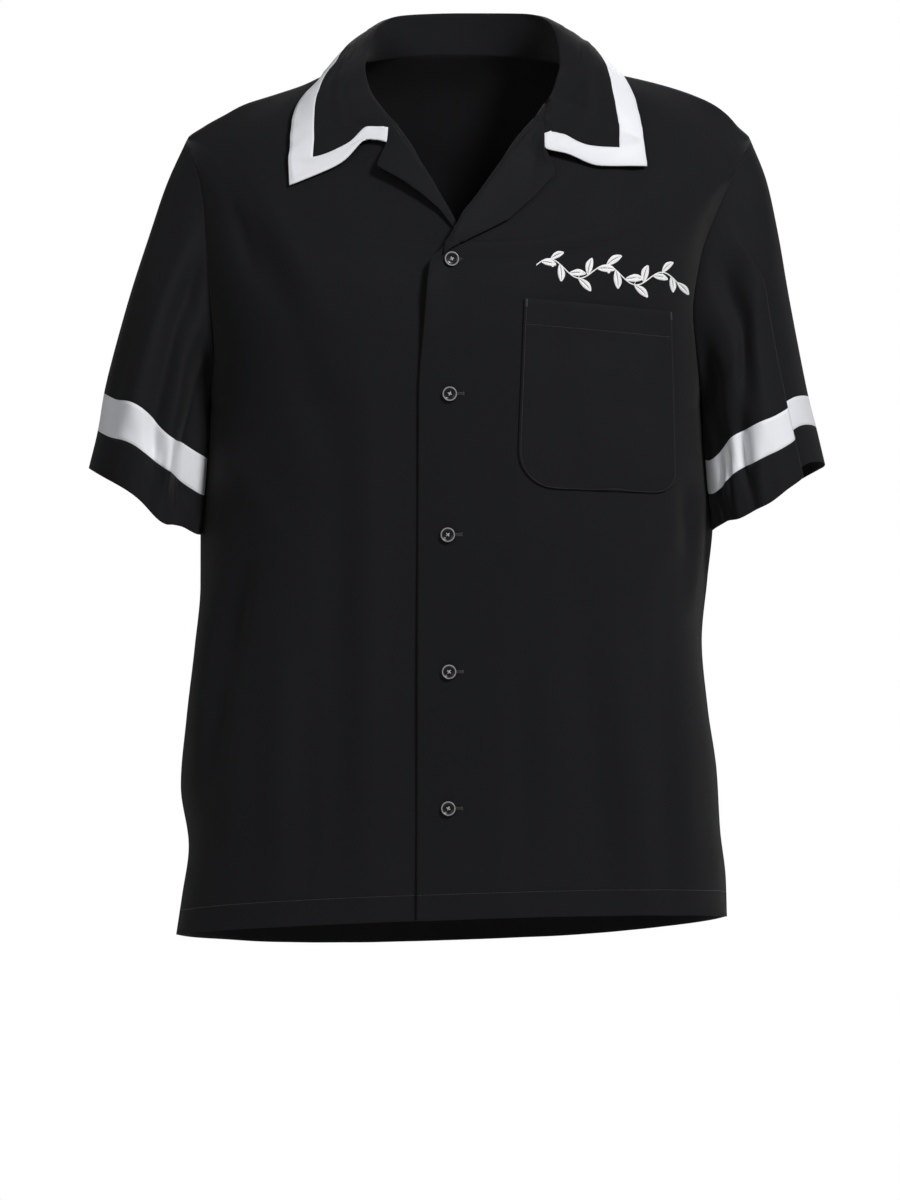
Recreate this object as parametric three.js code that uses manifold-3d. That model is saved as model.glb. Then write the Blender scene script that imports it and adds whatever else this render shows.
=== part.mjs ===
// Waiter shirt: a short-sleeved, open-collared button-up shirt, hollow and hanging as it is worn.
// Millimetres, +Z up. The shirt faces -Y, so the wearer's right is -X and the wearer's left is +X.
// The origin is the base of the neck, midway between the shoulder seams at their highest point.
import * as THREE from "three";
import Module from "manifold-3d";

// ---------------------------------------------------------------- driving sizes
const CLOTH = 1.6; // thickness of a body or sleeve panel, seam allowances included
const COLLAR_CLOTH = 2.0; // interfaced collar, lapel and trim
const SEAM_GAP = 0.3; // between the cut edges of two pieces at a seam
const REST_GAP = 0.4; // between a piece and the panel that it lies on
const TIP = -66; // height of the shoulder tip, where the armhole begins
const PIT = -302; // height of the armpit, where the armhole ends
const ARMHOLE_DEPTH = { front: 57, back: 60 }; // how far the armhole bows forward and back
const TILT_POWER = 1.3; // how a ring of cloth rises from the centre to the shoulder seam
const ROLL_RADIUS = 1.9; // inside fold of the collar and of the lapels
const ROLL_POINTS = 5; // points of a rib from its seam to the layer above the roll
const TRIM_WIDTH = 24; // white band along the collar's outer edge
const BUTTON = { radius: 6.35, rim: 1.5, height: 2.6, dish: 0.9, hole: 0.9, holeReach: 1.6 };
const HEM_LEVEL = -757; // height of the hem at the side seams
const HEM_TILT = 0.033; // how much the hem climbs towards the wearer's left
const SEARCH_STEPS = 30; // halvings in each search along the cloth

// Mesh density: cells across and down each piece.
const FRONT_CELLS = 9;
const BACK_CELLS = 16;
const ARMHOLE_CELLS = 8;
const SHOULDER_LEVELS = [0, -2, -6, -13, -23, -35, -50, -66];
const SIDE_LEVELS = [-345, -390, -440, -495, -550, -605, -655, -690, -725, HEM_LEVEL];

const BLACK = { color: 0x1b1c20, roughness: 0.82, metalness: 0 };
const WHITE = { color: 0xe6e7ea, roughness: 0.55, metalness: 0 };
const BUTTON_BLACK = { color: 0x0b0b0d, roughness: 0.22, metalness: 0 };

/** Turns rows of numbers into records with named columns. */
function table(columns, rows) {
  return rows.map((row) => Object.fromEntries(columns.map((name, i) => [name, row[i]])));
}

// Rings of body cloth. level is the height of the ring's outer edge: on the shoulder seam, then on
// the armhole, then on the side seam. right and left are its reach to each side, side_y its depth.
// front and back are how far the ring stands before and behind side_y at the centre, front_z and
// back_z its height there.
const BODY = table(
  ["level", "right", "left", "side_y", "front", "front_z", "back", "back_z", "round"],
  [
    [0, 84, 96, 2, 90, -78, 60, 12, 1.0],
    [-9, 114, 145, 3, 98, -101, 72, -6, 1.0],
    [-18, 134, 183, 4, 104, -117, 80, -22, 0.99],
    [-26, 158, 208, 5, 108, -128, 84, -36, 0.98],
    [-35, 186, 228, 6, 112, -138, 87, -52, 0.97],
    [-44, 203, 240, 7, 117, -147, 90, -67, 0.96],
    [-54, 221, 249, 8, 121, -156, 93, -82, 0.95],
    [-66, 236, 260, 8, 125, -166, 95, -99, 0.94],
    [-98, 225, 244, 8, 132, -188, 99, -133, 0.92],
    [-127, 220, 231, 7, 135, -205, 102, -158, 0.9],
    [-171, 217, 215, 5, 135, -231, 105, -190, 0.88],
    [-220, 213, 208, 3, 133, -255, 107, -230, 0.86],
    [-250, 211, 211, 2, 132, -275, 107, -256, 0.85],
    [-302, 217, 218, 4, 133, -304, 103, -302, 0.84],
    [-345, 220, 222, 9, 137, -345, 96, -345, 0.83],
    [-400, 224, 227, 14, 140, -400, 89, -400, 0.83],
    [-455, 224, 222, 11, 135, -455, 91, -455, 0.83],
    [-510, 229, 217, 5, 127, -510, 97, -510, 0.83],
    [-570, 236, 222, 0, 120, -570, 104, -570, 0.82],
    [-628, 241, 230, 0, 118, -626, 106, -630, 0.82],
    [-680, 234, 233, 0, 117, -676, 108, -684, 0.82],
    [-724, 240, 238, 0, 117, -716, 109, -734, 0.82],
    [HEM_LEVEL, 245, 239, 0, 116, -748, 109, -774, 0.82],
  ],
);

// The free inner edge of each front, seen from the front: the neck roll, then the button edge.
const FRONT_EDGE = table(
  ["z", "right_front", "left_front"],
  [
    [-38, -66, 80],
    [-50, -58, 70.5],
    [-61, -49, 60],
    [-77, -38, 49],
    [-90, -31.5, 42],
    [-105, -22.5, 32],
    [-122, -13, 20.5],
    [-140, -3, 8.5],
    [-158, 9, -2],
    [-171, 17, -13],
    [-181, 20, -21.5],
    [-226, 21, -26],
    [-293, 21, -31],
    [-780, 20, -33],
  ],
);

// Sections of each sleeve from the armhole to the hem: where its outer and inner edges lie, how far
// it reaches sideways before and behind mid_y.
const SLEEVE_COLUMNS = ["name", "outer_x", "outer_z", "inner_x", "inner_z", "mid_y", "half_depth"];
const SLEEVES = {
  right: table(SLEEVE_COLUMNS, [
    ["armhole", 236, -66, 217, -302, 6, 57],
    ["shoulder", 253, -104, 223, -309, 4, 61],
    ["bicep", 269, -152, 224, -318, 0, 65],
    ["elbow", 287, -208, 222, -330, -3, 68],
    ["band_top", 308.5, -289, 219, -346, -6, 70],
    ["band_bottom", 314, -322, 219, -379, -7, 71],
    ["hem", 321.5, -355, 221, -413, -8, 72],
  ]),
  left: table(SLEEVE_COLUMNS, [
    ["armhole", 260, -66, 218, -302, 6, 57],
    ["shoulder", 274, -102, 227, -309, 4, 61],
    ["bicep", 284, -148, 227, -318, 0, 65],
    ["elbow", 294, -206, 223, -330, -3, 68],
    ["band_top", 311, -293, 222, -346, -6, 70],
    ["band_bottom", 318, -321, 224, -376, -7, 71],
    ["hem", 325.5, -353, 227, -409, -8, 72],
  ]),
};
const SLEEVE_ROWS = { armhole: 0, band_top: 5, band_bottom: 6, hem: 7 };

// The collar's roll line and the outer edge of its fall, from the wearer's right gorge (-1) round
// the back (0) to the left gorge (1).
const COLLAR = table(
  ["around", "roll_x", "roll_y", "roll_z", "edge_x", "edge_y", "edge_z"],
  [
    [-1, -54, -71, -54, -144.5, -84, -92],
    [-0.86, -66, -60, -39, -143.5, -78, -72],
    [-0.7, -75, -46, -24, -141.5, -64, -50],
    [-0.54, -79.5, -30, -4, -134, -44, -30],
    [-0.4, -76.5, -8, 15, -119, -12, -14],
    [-0.28, -67, 20, 36, -101, 26, -8],
    [-0.14, -48, 52, 46, -76, 72, -10],
    [0, 4, 64, 49, 4, 94, -14],
    [0.14, 56, 52, 48, 90, 72, -8],
    [0.28, 79, 20, 42, 130, 26, -4],
    [0.4, 90, -8, 23, 147, -10, -9],
    [0.54, 92.5, -28, 1, 156, -44, -22],
    [0.7, 89, -40, -16, 160.5, -62, -42],
    [0.86, 85, -48, -28, 163.5, -74, -60],
    [1, 81, -52, -34, 166.5, -80, -78],
  ],
);

// The ends of the fall: the cut edge from the gorge to the collar point, and the upper edge of the
// white band beside it. lift is how far each place stands off the chest.
const COLLAR_ENDS = {
  right: {
    end: table(
      ["x", "z", "lift"],
      [[-57.2, -60.3, 3], [-57.6, -73, 3], [-73, -69.3, 3.5], [-112, -97, 1.5], [-144, -109, 0.4]],
    ),
    band: table(
      ["x", "z", "lift"],
      [[-61, -58.2, 4], [-74, -58.4, 4], [-96, -74, 3], [-123.5, -84.8, 1.5], [-145, -86, 0.4]],
    ),
  },
  left: {
    end: table(
      ["x", "z", "lift"],
      [[76.8, -66.3, 3], [77.4, -78, 3], [96, -82.5, 4.5], [128, -92.6, 1.8], [168.4, -92.6, 1.2]],
    ),
    band: table(
      ["x", "z", "lift"],
      [[82, -63.4, 4], [95, -66, 4.5], [113, -73.6, 2.5], [142.8, -75.8, 1.8], [165.5, -72, 1.4]],
    ),
  },
};

// The lapels' outer edges, a row for each ring of the shoulder from the gorge down to where the
// lapel runs out.
const LAPELS = {
  right: table(
    ["x", "z", "lift"],
    [
      [-57.6, -73, 3],
      [-67, -96.5, 8],
      [-43, -109.5, 6.5],
      [-28, -120, 5],
      [-14, -132, 3],
      [-3.5, -145.6, 1],
      [5, -157, 0.2],
    ],
  ),
  left: table(
    ["x", "z", "lift"],
    [
      [77.4, -78, 3],
      [87, -101.5, 3],
      [67, -123, 2.4],
      [46, -141.5, 2.3],
      [26, -151.5, 2.3],
      [9.5, -159, 2.3],
      [-3, -165.5, 2.3],
      [-10, -171, 2.3],
    ],
  ),
};

// Soft folds: a line on one face of the shirt from (a0, z0) to (a1, z1), its width and its depth
// (negative is a trough). On front and back a is x; on a sleeve's outer side a is y.
const FOLDS = table(
  ["face", "a0", "z0", "a1", "z1", "width", "depth"],
  [
    ["front", -198, -113, -140, -235, 16, -4],
    ["front", -140, -235, -112, -340, 18, -3],
    ["front", -180, -433, -200, -532, 13, -6],
    ["front", -200, -532, -217, -640, 12, -5],
    ["front", -214, -470, -228, -600, 12, 3],
    ["front", -103, -300, -103, -700, 18, -2.5],
    ["front", -77, -260, -74, -730, 16, 2],
    ["front", -150, -420, -158, -730, 18, 3],
    ["front", 136, -93, 67, -170, 12, -3.5],
    ["front", 173, -67, 120, -165, 13, -3.5],
    ["front", 200, -366, 207, -440, 9, -4],
    ["front", 112, -473, 133, -700, 16, -3],
    ["front", 139, -494, 166, -720, 16, 3],
    ["front", 58, -526, 60, -735, 15, -2.5],
    ["front", 196, -520, 206, -740, 16, 2.5],
    ["back", -150, -120, -104, -330, 26, 5],
    ["back", 156, -120, 110, -330, 26, 5],
    ["back", -96, -360, -80, -760, 24, -6],
    ["back", 88, -340, 96, -760, 26, -6],
    ["back", 6, -330, -4, -740, 30, 4],
    ["back", -172, -430, -186, -740, 20, 5],
    ["back", 176, -420, 182, -740, 20, 5],
    ["back", -205, -360, -140, -450, 16, -4],
    ["back", 206, -350, 146, -440, 16, -4],
  ],
);
// Folds of the sleeves: turn is the angle round the sleeve from its outer edge towards the front.
const SLEEVE_FOLDS = table(
  ["sleeve", "turn", "from", "to", "width", "depth"],
  [
    ["right", 96, 0.1, 0.85, 15, -4],
    ["right", 124, 0, 0.75, 14, 3.5],
    ["right", 62, 0.3, 1, 14, 2.5],
    ["right", 250, 0.1, 1, 22, -4],
    ["left", 118, 0.05, 0.9, 14, -4.5],
    ["left", 96, 0.4, 1.1, 12, 3],
    ["left", 255, 0.1, 1, 22, -4],
  ],
);
// The left sleeve's deep fold: past this turn the outer layer lies back and rides up.
const SLEEVE_TUCK = { turn: 60, width: 9, recess: 5, rise: 12 };
// Waves of the cuffs: where each lies round the sleeve, its width, and how far it lifts the edges.
const WAVES = table(
  ["sleeve", "turn", "width", "band_top", "band_bottom", "hem"],
  [
    ["right", 73, 22, 10, 8, 5],
    ["right", 108, 16, -3, 2, -6],
    ["right", 150, 20, -2, -2, -2],
    ["left", 92, 16, 3, 2, -4],
    ["left", 118, 14, 4, 3, -3],
    ["left", 150, 16, -6, -5, 2],
  ],
);
const WAVE_START = 1.5; // section below which the cuff's waves grow
// A sleeve's inner side keeps this far from the body, mid-surface to mid-surface: gap is reached at
// the section fullAt, within halfTurn degrees of its innermost line.
const SLEEVE_CLEAR = { gap: 4.2, fullAt: 2, halfTurn: 60 };

const POCKET = {
  top: [{ x: 60, z: -210 }, { x: 188, z: -220 }],
  bottom: [{ x: 53.5, z: -374 }, { x: 192, z: -377.5 }],
  innerRadius: 34,
  outerRadius: 18,
  cells: 10,
  pouch: 2, // extra fullness in the middle of the pocket
};
const BUTTONS = table(
  ["x", "z"],
  [
    [-2.6, -173.5],
    [-3.5, -292],
    [-5, -413],
    [-4.4, -534],
    [-6.5, -653],
  ],
);
// How far the left front rides out over the right front, and over the lapel at the neck.
const OVERLAP = { lift: 3.2, from: 46, fade: 50, neckLift: 5, neckZ: -150, neckX: 4, neckReach: 38 };

// ---------------------------------------------------------------- small helpers
const vec = (x, y, z) => new THREE.Vector3(x, y, z);
const lerp = (a, b, t) => a + (b - a) * t;
const radians = (degrees) => (degrees * Math.PI) / 180;
const clamp = (v, low, high) => Math.min(high, Math.max(low, v));
const soften = (t) => t * t * (3 - 2 * t);
const bell = (distance, width) => Math.exp(-((distance / width) ** 2));

/** A column of a table at any key, on a smooth curve that never overshoots its rows. */
function read(rows, key, column, at) {
  const up = rows[0][key] < rows[rows.length - 1][key];
  const list = up ? rows : [...rows].reverse();
  const last = list.length - 1;
  const x = clamp(at, list[0][key], list[last][key]);
  let i = list.findIndex((row, n) => n < last && x <= list[n + 1][key]);
  i = i < 0 ? last - 1 : i;
  const slope = (n) => (list[n + 1][column] - list[n][column]) / (list[n + 1][key] - list[n][key]);
  const tangent = (n) => {
    if (n === 0) return slope(0);
    if (n === last) return slope(last - 1);
    const [a, b] = [slope(n - 1), slope(n)];
    return a * b <= 0 ? 0 : (2 * a * b) / (a + b);
  };
  const h = list[i + 1][key] - list[i][key];
  const t = (x - list[i][key]) / h;
  const [p, q] = [list[i][column], list[i + 1][column]];
  const s = t * t;
  return p * (1 + s * (2 * t - 3)) + q * s * (3 - 2 * t)
    + h * (tangent(i) * (t - 2 * s + s * t) + tangent(i + 1) * (s * t - s));
}

/** The value between low and high where a rising function crosses zero. */
function crossing(low, high, rising) {
  let [a, b] = [low, high];
  for (let n = 0; n < SEARCH_STEPS; n += 1) {
    const mid = (a + b) / 2;
    if (rising(mid) > 0) b = mid;
    else a = mid;
  }
  return (a + b) / 2;
}

/** Shares of 0 to 1 at which a curve, given by a function, is cut into equal lengths. */
function evenly(curve, cells) {
  const steps = 96;
  const fine = Array.from({ length: steps + 1 }, (_, n) => curve(n / steps));
  const run = lengths(fine);
  return Array.from({ length: cells + 1 }, (_, k) => {
    const want = (run[steps] * k) / cells;
    const n = clamp(run.filter((r) => r < want).length, 1, steps);
    return (n - 1 + (want - run[n - 1]) / (run[n] - run[n - 1])) / steps;
  });
}

/** The length of a line of points up to each of them. */
function lengths(points) {
  const run = [0];
  for (let n = 1; n < points.length; n += 1) {
    run.push(run[n - 1] + points[n].distanceTo(points[n - 1]));
  }
  return run;
}

// ---------------------------------------------------------------- the body's form
/** How far the armhole lies before or behind the side line at a level. */
function armholeReach(face, level) {
  if (level >= TIP || level <= PIT) return 0;
  const u = (2 * level - TIP - PIT) / (TIP - PIT);
  return ARMHOLE_DEPTH[face] * Math.sqrt(Math.max(0, 1 - u * u));
}

/** The sizes of one ring of body cloth, on the front or the back. */
function ringAt(face, level) {
  const ring = { level, way: face === "front" ? -1 : 1 };
  for (const column of ["right", "left", "side_y", "round"]) {
    ring[column] = read(BODY, "level", column, level);
  }
  ring.depth = read(BODY, "level", face, level);
  ring.centre_z = read(BODY, "level", `${face}_z`, level);
  const share = armholeReach(face, level) / ring.depth;
  ring.outer = Math.acos(share ** (1 / ring.round));
  return ring;
}

/** A point of a ring. turn is 0 at the centre and negative towards the wearer's right. */
function ringPoint(ring, turn) {
  const reach = (turn < 0 ? -ring.right : ring.left) / Math.sin(ring.outer) ** ring.round;
  const across = Math.sin(Math.abs(turn)) ** ring.round;
  const height = Math.max(0, Math.cos(turn)) ** TILT_POWER;
  const outerHeight = Math.cos(ring.outer) ** TILT_POWER;
  const share = (height - outerHeight) / (1 - outerHeight);
  const tilt = HEM_TILT * soften(clamp((PIT - ring.level) / (PIT - HEM_LEVEL), 0, 1));
  const x = reach * across;
  return vec(
    x,
    ring.side_y + ring.way * ring.depth * Math.max(0, Math.cos(turn)) ** ring.round,
    lerp(ring.level, ring.centre_z, share) + tilt * x,
  );
}

/** A point of the plain body form and its outward direction, by level and turn. */
function bodyPlace(face, level, turn) {
  const [high, low] = [Math.min(0, level + 2), Math.max(HEM_LEVEL, level - 2)];
  const step = radians(turn < 0 ? 2 : -2);
  const across = ringPoint(ringAt(face, level), turn + step).sub(ringPoint(ringAt(face, level), turn));
  const up = ringPoint(ringAt(face, high), turn).sub(ringPoint(ringAt(face, low), turn));
  const out = across.multiplyScalar(Math.sign(step)).cross(up).normalize();
  const at = ringPoint(ringAt(face, level), turn);
  return { at, out: face === "front" ? out : out.negate() };
}

/** The place on the plain body form that is seen at x and z from the front or the back. */
function bodyAt(face, x, z) {
  const side = x < 0 ? "right" : "left";
  const turnAt = (level) => {
    const ring = ringAt(face, level);
    const reach = ring[side] / Math.sin(ring.outer) ** ring.round;
    const share = clamp(Math.abs(x) / reach, 0, 1);
    return Math.sign(x) * Math.asin(share ** (1 / ring.round));
  };
  const height = (level) => ringPoint(ringAt(face, level), turnAt(level)).z;
  const level = crossing(HEM_LEVEL, 0, (guess) => height(guess) - z);
  return bodyPlace(face, level, turnAt(level));
}

/** How far the folds move the cloth of one face in or out. */
function foldDepth(face, a, z) {
  let depth = 0;
  for (const fold of FOLDS.filter((row) => row.face === face)) {
    const [da, dz] = [fold.a1 - fold.a0, fold.z1 - fold.z0];
    const along = ((a - fold.a0) * da + (z - fold.z0) * dz) / (da * da + dz * dz);
    const t = clamp(along, 0, 1);
    const off = Math.hypot(a - fold.a0 - t * da, z - fold.z0 - t * dz);
    depth += fold.depth * bell(off, fold.width) * Math.sin(Math.PI * clamp(0.08 + 0.84 * t, 0, 1));
  }
  return depth;
}

/** How far the left front rides out over what lies under it. */
function overlapLift(x, z) {
  const plain = 1 - soften(clamp((x - OVERLAP.from) / OVERLAP.fade, 0, 1));
  const neck = bell(z - OVERLAP.neckZ, OVERLAP.neckReach) * bell(x - OVERLAP.neckX, OVERLAP.neckReach);
  return OVERLAP.lift * plain + OVERLAP.neckLift * neck;
}

/** How far one front's cloth stands out from the plain form at x and z. */
function frontProud(side, x, z) {
  const lift = side === "left" ? overlapLift(x, z) : 0;
  return lift + foldDepth("front", x, z) * (1 - bell(x, 30));
}

/** A point of one front panel, height mm proud of its mid-surface. */
function onFront(side, x, z, height = 0) {
  const { at, out } = bodyAt("front", x, z);
  return at.addScaledVector(out, height + frontProud(side, x, z));
}

// ---------------------------------------------------------------- sheets of cloth
// Cut edges are halved in this order along the cloth, so that both sides of a seam match.
const RIM_ORDER = vec(1, 0.37, 0.61);

/** Cloth as a mid-surface: points in a grid and the cells that the piece is cut to. cross says in
 * which columns the cells are halved along their other diagonal. */
class Sheet {
  constructor(name, rows, options = {}) {
    const { closed = false, keep = () => true, cross = () => false } = options;
    const { thickness = CLOTH, flip = 1, turn = 1 } = options;
    const width = rows[0].length;
    this.name = name;
    this.thickness = thickness;
    this.flip = flip;
    this.quads = [];
    this.points = [];
    this.index = new Map();
    const at = (i, j) => {
      const k = i * width + (closed ? j % width : j);
      if (!this.index.has(k)) {
        this.index.set(k, this.points.length);
        this.points.push(rows[i][closed ? j % width : j].clone());
      }
      return this.index.get(k);
    };
    for (let i = 0; i + 1 < rows.length; i += 1) {
      for (let j = 0; j + 1 < width + (closed ? 1 : 0); j += 1) {
        if (!keep(i, j)) continue;
        const quad = [at(i, j), at(i, j + 1), at(i + 1, j + 1), at(i + 1, j)];
        this.quads.push(cross(j) ? [...quad.slice(1), quad[0]] : quad);
      }
    }
    this.normals = this.points.map(() => vec(0, 0, 0));
    for (const [a, b, c, d] of this.quads) {
      const n = this.points[c].clone().sub(this.points[a]);
      n.cross(this.points[d].clone().sub(this.points[b])).multiplyScalar(turn);
      for (const k of [a, b, c, d]) this.normals[k].add(n);
    }
    this.turn = turn;
    this.normals.forEach((n) => n.normalize());
  }

  /** Edges with a cell on one side only, each in its cell's order. */
  rim() {
    const seen = new Map();
    for (const quad of this.quads) {
      quad.forEach((a, n) => seen.set(`${a},${quad[(n + 1) % 4]}`, [a, quad[(n + 1) % 4], quad]));
    }
    return [...seen.values()].filter(([a, b]) => !seen.has(`${b},${a}`));
  }

  /** The closed wall: both faces of the cloth and its cut edges. */
  wall() {
    const half = this.thickness / 2;
    const count = this.points.length;
    const all = [1, -1].flatMap((way) =>
      this.points.map((p, k) => p.clone().addScaledVector(this.normals[k], way * half)));
    const faces = [];
    for (const [a, b, c, d] of this.quads) {
      faces.push([a, b, c], [a, c, d]);
      faces.push([count + a, count + c, count + b], [count + a, count + d, count + c]);
    }
    for (const [a, b] of this.rim()) {
      const rising = this.points[b].dot(RIM_ORDER) < this.points[a].dot(RIM_ORDER);
      if (rising === (this.flip > 0)) faces.push([b, a, count + a], [b, count + a, count + b]);
      else faces.push([b, a, count + b], [a, count + a, count + b]);
    }
    const geometry = new THREE.BufferGeometry();
    const flat = all.flatMap((p) => [p.x, p.y, p.z]);
    geometry.setAttribute("position", new THREE.Float32BufferAttribute(flat, 3));
    geometry.setIndex(faces.flatMap(([a, b, c]) => (this.turn > 0 ? [a, b, c] : [a, c, b])));
    geometry.computeVertexNormals();
    return geometry;
  }
}

/** Gives sheets that meet at a seam one shared edge direction, and draws them SEAM_GAP apart. */
function sew(sheets) {
  const key = (p) => [p.x, p.y, p.z].map((v) => Math.round(v * 1e3)).join();
  const meeting = new Map();
  for (const sheet of sheets) {
    sheet.points.forEach((p, k) => {
      if (!meeting.has(key(p))) meeting.set(key(p), []);
      meeting.get(key(p)).push([sheet, k]);
    });
  }
  const shared = (sheet, k) => meeting.get(key(sheet.points[k])).length > 1;
  const pulls = [];
  for (const sheet of sheets) {
    const pull = new Map();
    for (const [a, b, quad] of sheet.rim()) {
      if (!shared(sheet, a) || !shared(sheet, b)) continue;
      const along = sheet.points[b].clone().sub(sheet.points[a]).normalize();
      const middle = vec(0, 0, 0);
      quad.forEach((k) => middle.addScaledVector(sheet.points[k], 1 / 4));
      const inward = middle.sub(sheet.points[a]);
      inward.addScaledVector(along, -inward.dot(along)).normalize();
      for (const k of [a, b]) pull.set(k, [...(pull.get(k) ?? []), inward]);
    }
    for (const [k, ways] of pull) {
      const [one, two] = [ways[0], ways[1] ?? ways[0]];
      const move = one.clone().add(two).multiplyScalar(SEAM_GAP / 2 / (1 + one.dot(two)));
      pulls.push([sheet, k, move]);
    }
  }
  for (const group of meeting.values()) {
    if (group.length < 2) continue;
    const sum = vec(0, 0, 0);
    for (const [sheet, k] of group) sum.addScaledVector(sheet.normals[k], sheet.flip);
    sum.normalize();
    for (const [sheet, k] of group) sheet.normals[k].copy(sum).multiplyScalar(sheet.flip);
  }
  for (const [sheet, k, move] of pulls) sheet.points[k].add(move);
}

// ---------------------------------------------------------------- fronts and back
const armholeLevels = Array.from({ length: ARMHOLE_CELLS }, (_, n) => {
  const t = Math.PI * ((n + 1) / ARMHOLE_CELLS);
  return (TIP + PIT) / 2 + ((TIP - PIT) / 2) * Math.cos(t);
});
const LEVELS = [...SHOULDER_LEVELS, ...armholeLevels, ...SIDE_LEVELS];

/** Folds die away over the cells next to a seam. */
const seamFade = (cells) => 1 - bell(cells, 0.9);

/** The turn at which a front's ring meets its free inner edge. */
function innerTurn(ring, side) {
  return crossing(-ring.outer, ring.outer, (turn) => {
    const p = ringPoint(ring, turn);
    return p.x - read(FRONT_EDGE, "z", `${side}_front`, p.z);
  });
}

/** One front panel, from its free edge to the shoulder, armhole and side seams. */
function frontSheet(side) {
  const way = side === "right" ? -1 : 1;
  const rows = LEVELS.map((level) => {
    const ring = ringAt("front", level);
    const turnOf = (t) => lerp(innerTurn(ring, side), way * ring.outer, t);
    return evenly((t) => ringPoint(ring, turnOf(t)), FRONT_CELLS).map((share, j) => {
      const { at, out } = bodyPlace("front", level, turnOf(share));
      const fade = seamFade(FRONT_CELLS - j);
      return at.addScaledVector(out, frontProud(side, at.x, at.z) * fade);
    });
  });
  return new Sheet(`front_${side}`, rows, { turn: -way });
}

/** The back panel, across from one armhole and side seam to the other. */
function backSheet() {
  const rows = LEVELS.map((level) => {
    const ring = ringAt("back", level);
    const half = BACK_CELLS / 2;
    const turns = (way) => {
      const shares = evenly((t) => ringPoint(ring, way * ring.outer * t), half);
      return shares.map((t) => way * ring.outer * t);
    };
    return [...turns(-1).reverse(), ...turns(1).slice(1)].map((turn, j) => {
      const { at, out } = bodyPlace("back", level, turn);
      const fade = seamFade(Math.min(j, BACK_CELLS - j));
      return at.addScaledVector(out, foldDepth("back", at.x, at.z) * fade);
    });
  });
  return new Sheet("back", rows, { cross: (j) => j >= BACK_CELLS / 2 });
}

const fronts = { right: frontSheet("right"), left: frontSheet("left") };
const back = backSheet();

/** A vertex of a body sheet by its row and column. */
function corner(sheet, cells, i, j) {
  return sheet.points[sheet.index.get(i * (cells + 1) + j)].clone();
}

// ---------------------------------------------------------------- sleeves
/** Depth of a sleeve's soft folds at a turn round it and a share of its length. */
function sleeveFold(side, turn, along) {
  let depth = 0;
  for (const fold of SLEEVE_FOLDS.filter((row) => row.sleeve === side)) {
    const inside = clamp((along - fold.from) / 0.25, 0, 1) * clamp((fold.to - along) / 0.2, 0, 1);
    depth += fold.depth * bell(turn - fold.turn, fold.width) * soften(inside);
  }
  return depth;
}

/** How far the cuff's waves lift a sleeve's cloth at a section and a turn. */
function waveRise(side, row, turn) {
  const edges = ["band_top", "band_bottom", "hem"];
  const first = SLEEVES[side].findIndex((section) => section.name === "band_top");
  const place = clamp(row - first, 0, edges.length - 1);
  const n = Math.min(Math.floor(place), edges.length - 2);
  const grown = clamp((row - WAVE_START) / (first - WAVE_START), 0, 1);
  const rises = WAVES.filter((wave) => wave.sleeve === side).map((wave) => {
    const amount = lerp(wave[edges[n]], wave[edges[n + 1]], place - n);
    return grown * amount * bell(turn - wave.turn, wave.width);
  });
  return rises.reduce((sum, rise) => sum + rise, 0);
}

/** One point of a sleeve's sections, before it is drawn to the armhole. */
function sleevePoint(side, row, turnDegrees) {
  const way = side === "right" ? -1 : 1;
  const rows = SLEEVES[side].map((section, n) => ({ ...section, row: n }));
  const at = (column) => read(rows, "row", column, row);
  const turn = radians(turnDegrees);
  const along = row / (rows.length - 1);
  let depth = sleeveFold(side, turnDegrees, along);
  let rise = waveRise(side, row, turnDegrees);
  if (side === "left") {
    const laid = soften(clamp((along - 0.15) / 0.7, 0, 1));
    const past = 0.5 - 0.5 * Math.tanh((turnDegrees - SLEEVE_TUCK.turn) / SLEEVE_TUCK.width);
    const ends = soften(clamp((turnDegrees + 45) / 60, 0, 1));
    depth -= SLEEVE_TUCK.recess * laid * past * ends;
    rise += SLEEVE_TUCK.rise * soften(clamp((along - 0.45) / 0.35, 0, 1)) * past * ends;
  }
  const half = vec(at("outer_x") - at("inner_x"), 0, at("outer_z") - at("inner_z")).multiplyScalar(0.5);
  const width = half.length();
  const p = vec(at("inner_x"), at("mid_y"), at("inner_z")).add(half);
  p.addScaledVector(half, (Math.cos(turn) * (width + depth)) / width);
  p.y -= Math.sin(turn) * (at("half_depth") + depth);
  p.z += rise;
  p.x *= way;
  return p;
}

/** The whole sleeve as rings of points, from the armhole loop to the hem. */
function sleeveRings(side) {
  const front = fronts[side];
  const outerColumn = side === "right" ? 0 : BACK_CELLS;
  const first = SHOULDER_LEVELS.length - 1;
  const loop = [];
  for (let n = 0; n <= ARMHOLE_CELLS; n += 1) loop.push(corner(front, FRONT_CELLS, first + n, FRONT_CELLS));
  for (let n = ARMHOLE_CELLS - 1; n > 0; n -= 1) loop.push(corner(back, BACK_CELLS, first + n, outerColumn));
  const count = loop.length;
  const stations = [0, 0.55, 1.2, 2, 3, 4, 5, 6];
  const cover = coverOf([front, back]);
  return stations.map((row) => {
    const hold = 1 - soften(clamp(row / 2.4, 0, 1));
    const clear = SLEEVE_CLEAR.gap * soften(clamp(row / SLEEVE_CLEAR.fullAt, 0, 1));
    return loop.map((seam, k) => {
      const turn = (360 * k) / count;
      const signed = turn > 180 ? turn - 360 : turn;
      const plain = (r) => sleevePoint(side, r, signed < -100 ? signed + 360 : signed);
      const point = plain(row).addScaledVector(seam.clone().sub(plain(0)), hold);
      const inner = row > 0 && Math.abs(turn - 180) < SLEEVE_CLEAR.halfTurn;
      return inner ? restOn(cover, point, clear) : point;
    });
  });
}

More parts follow.
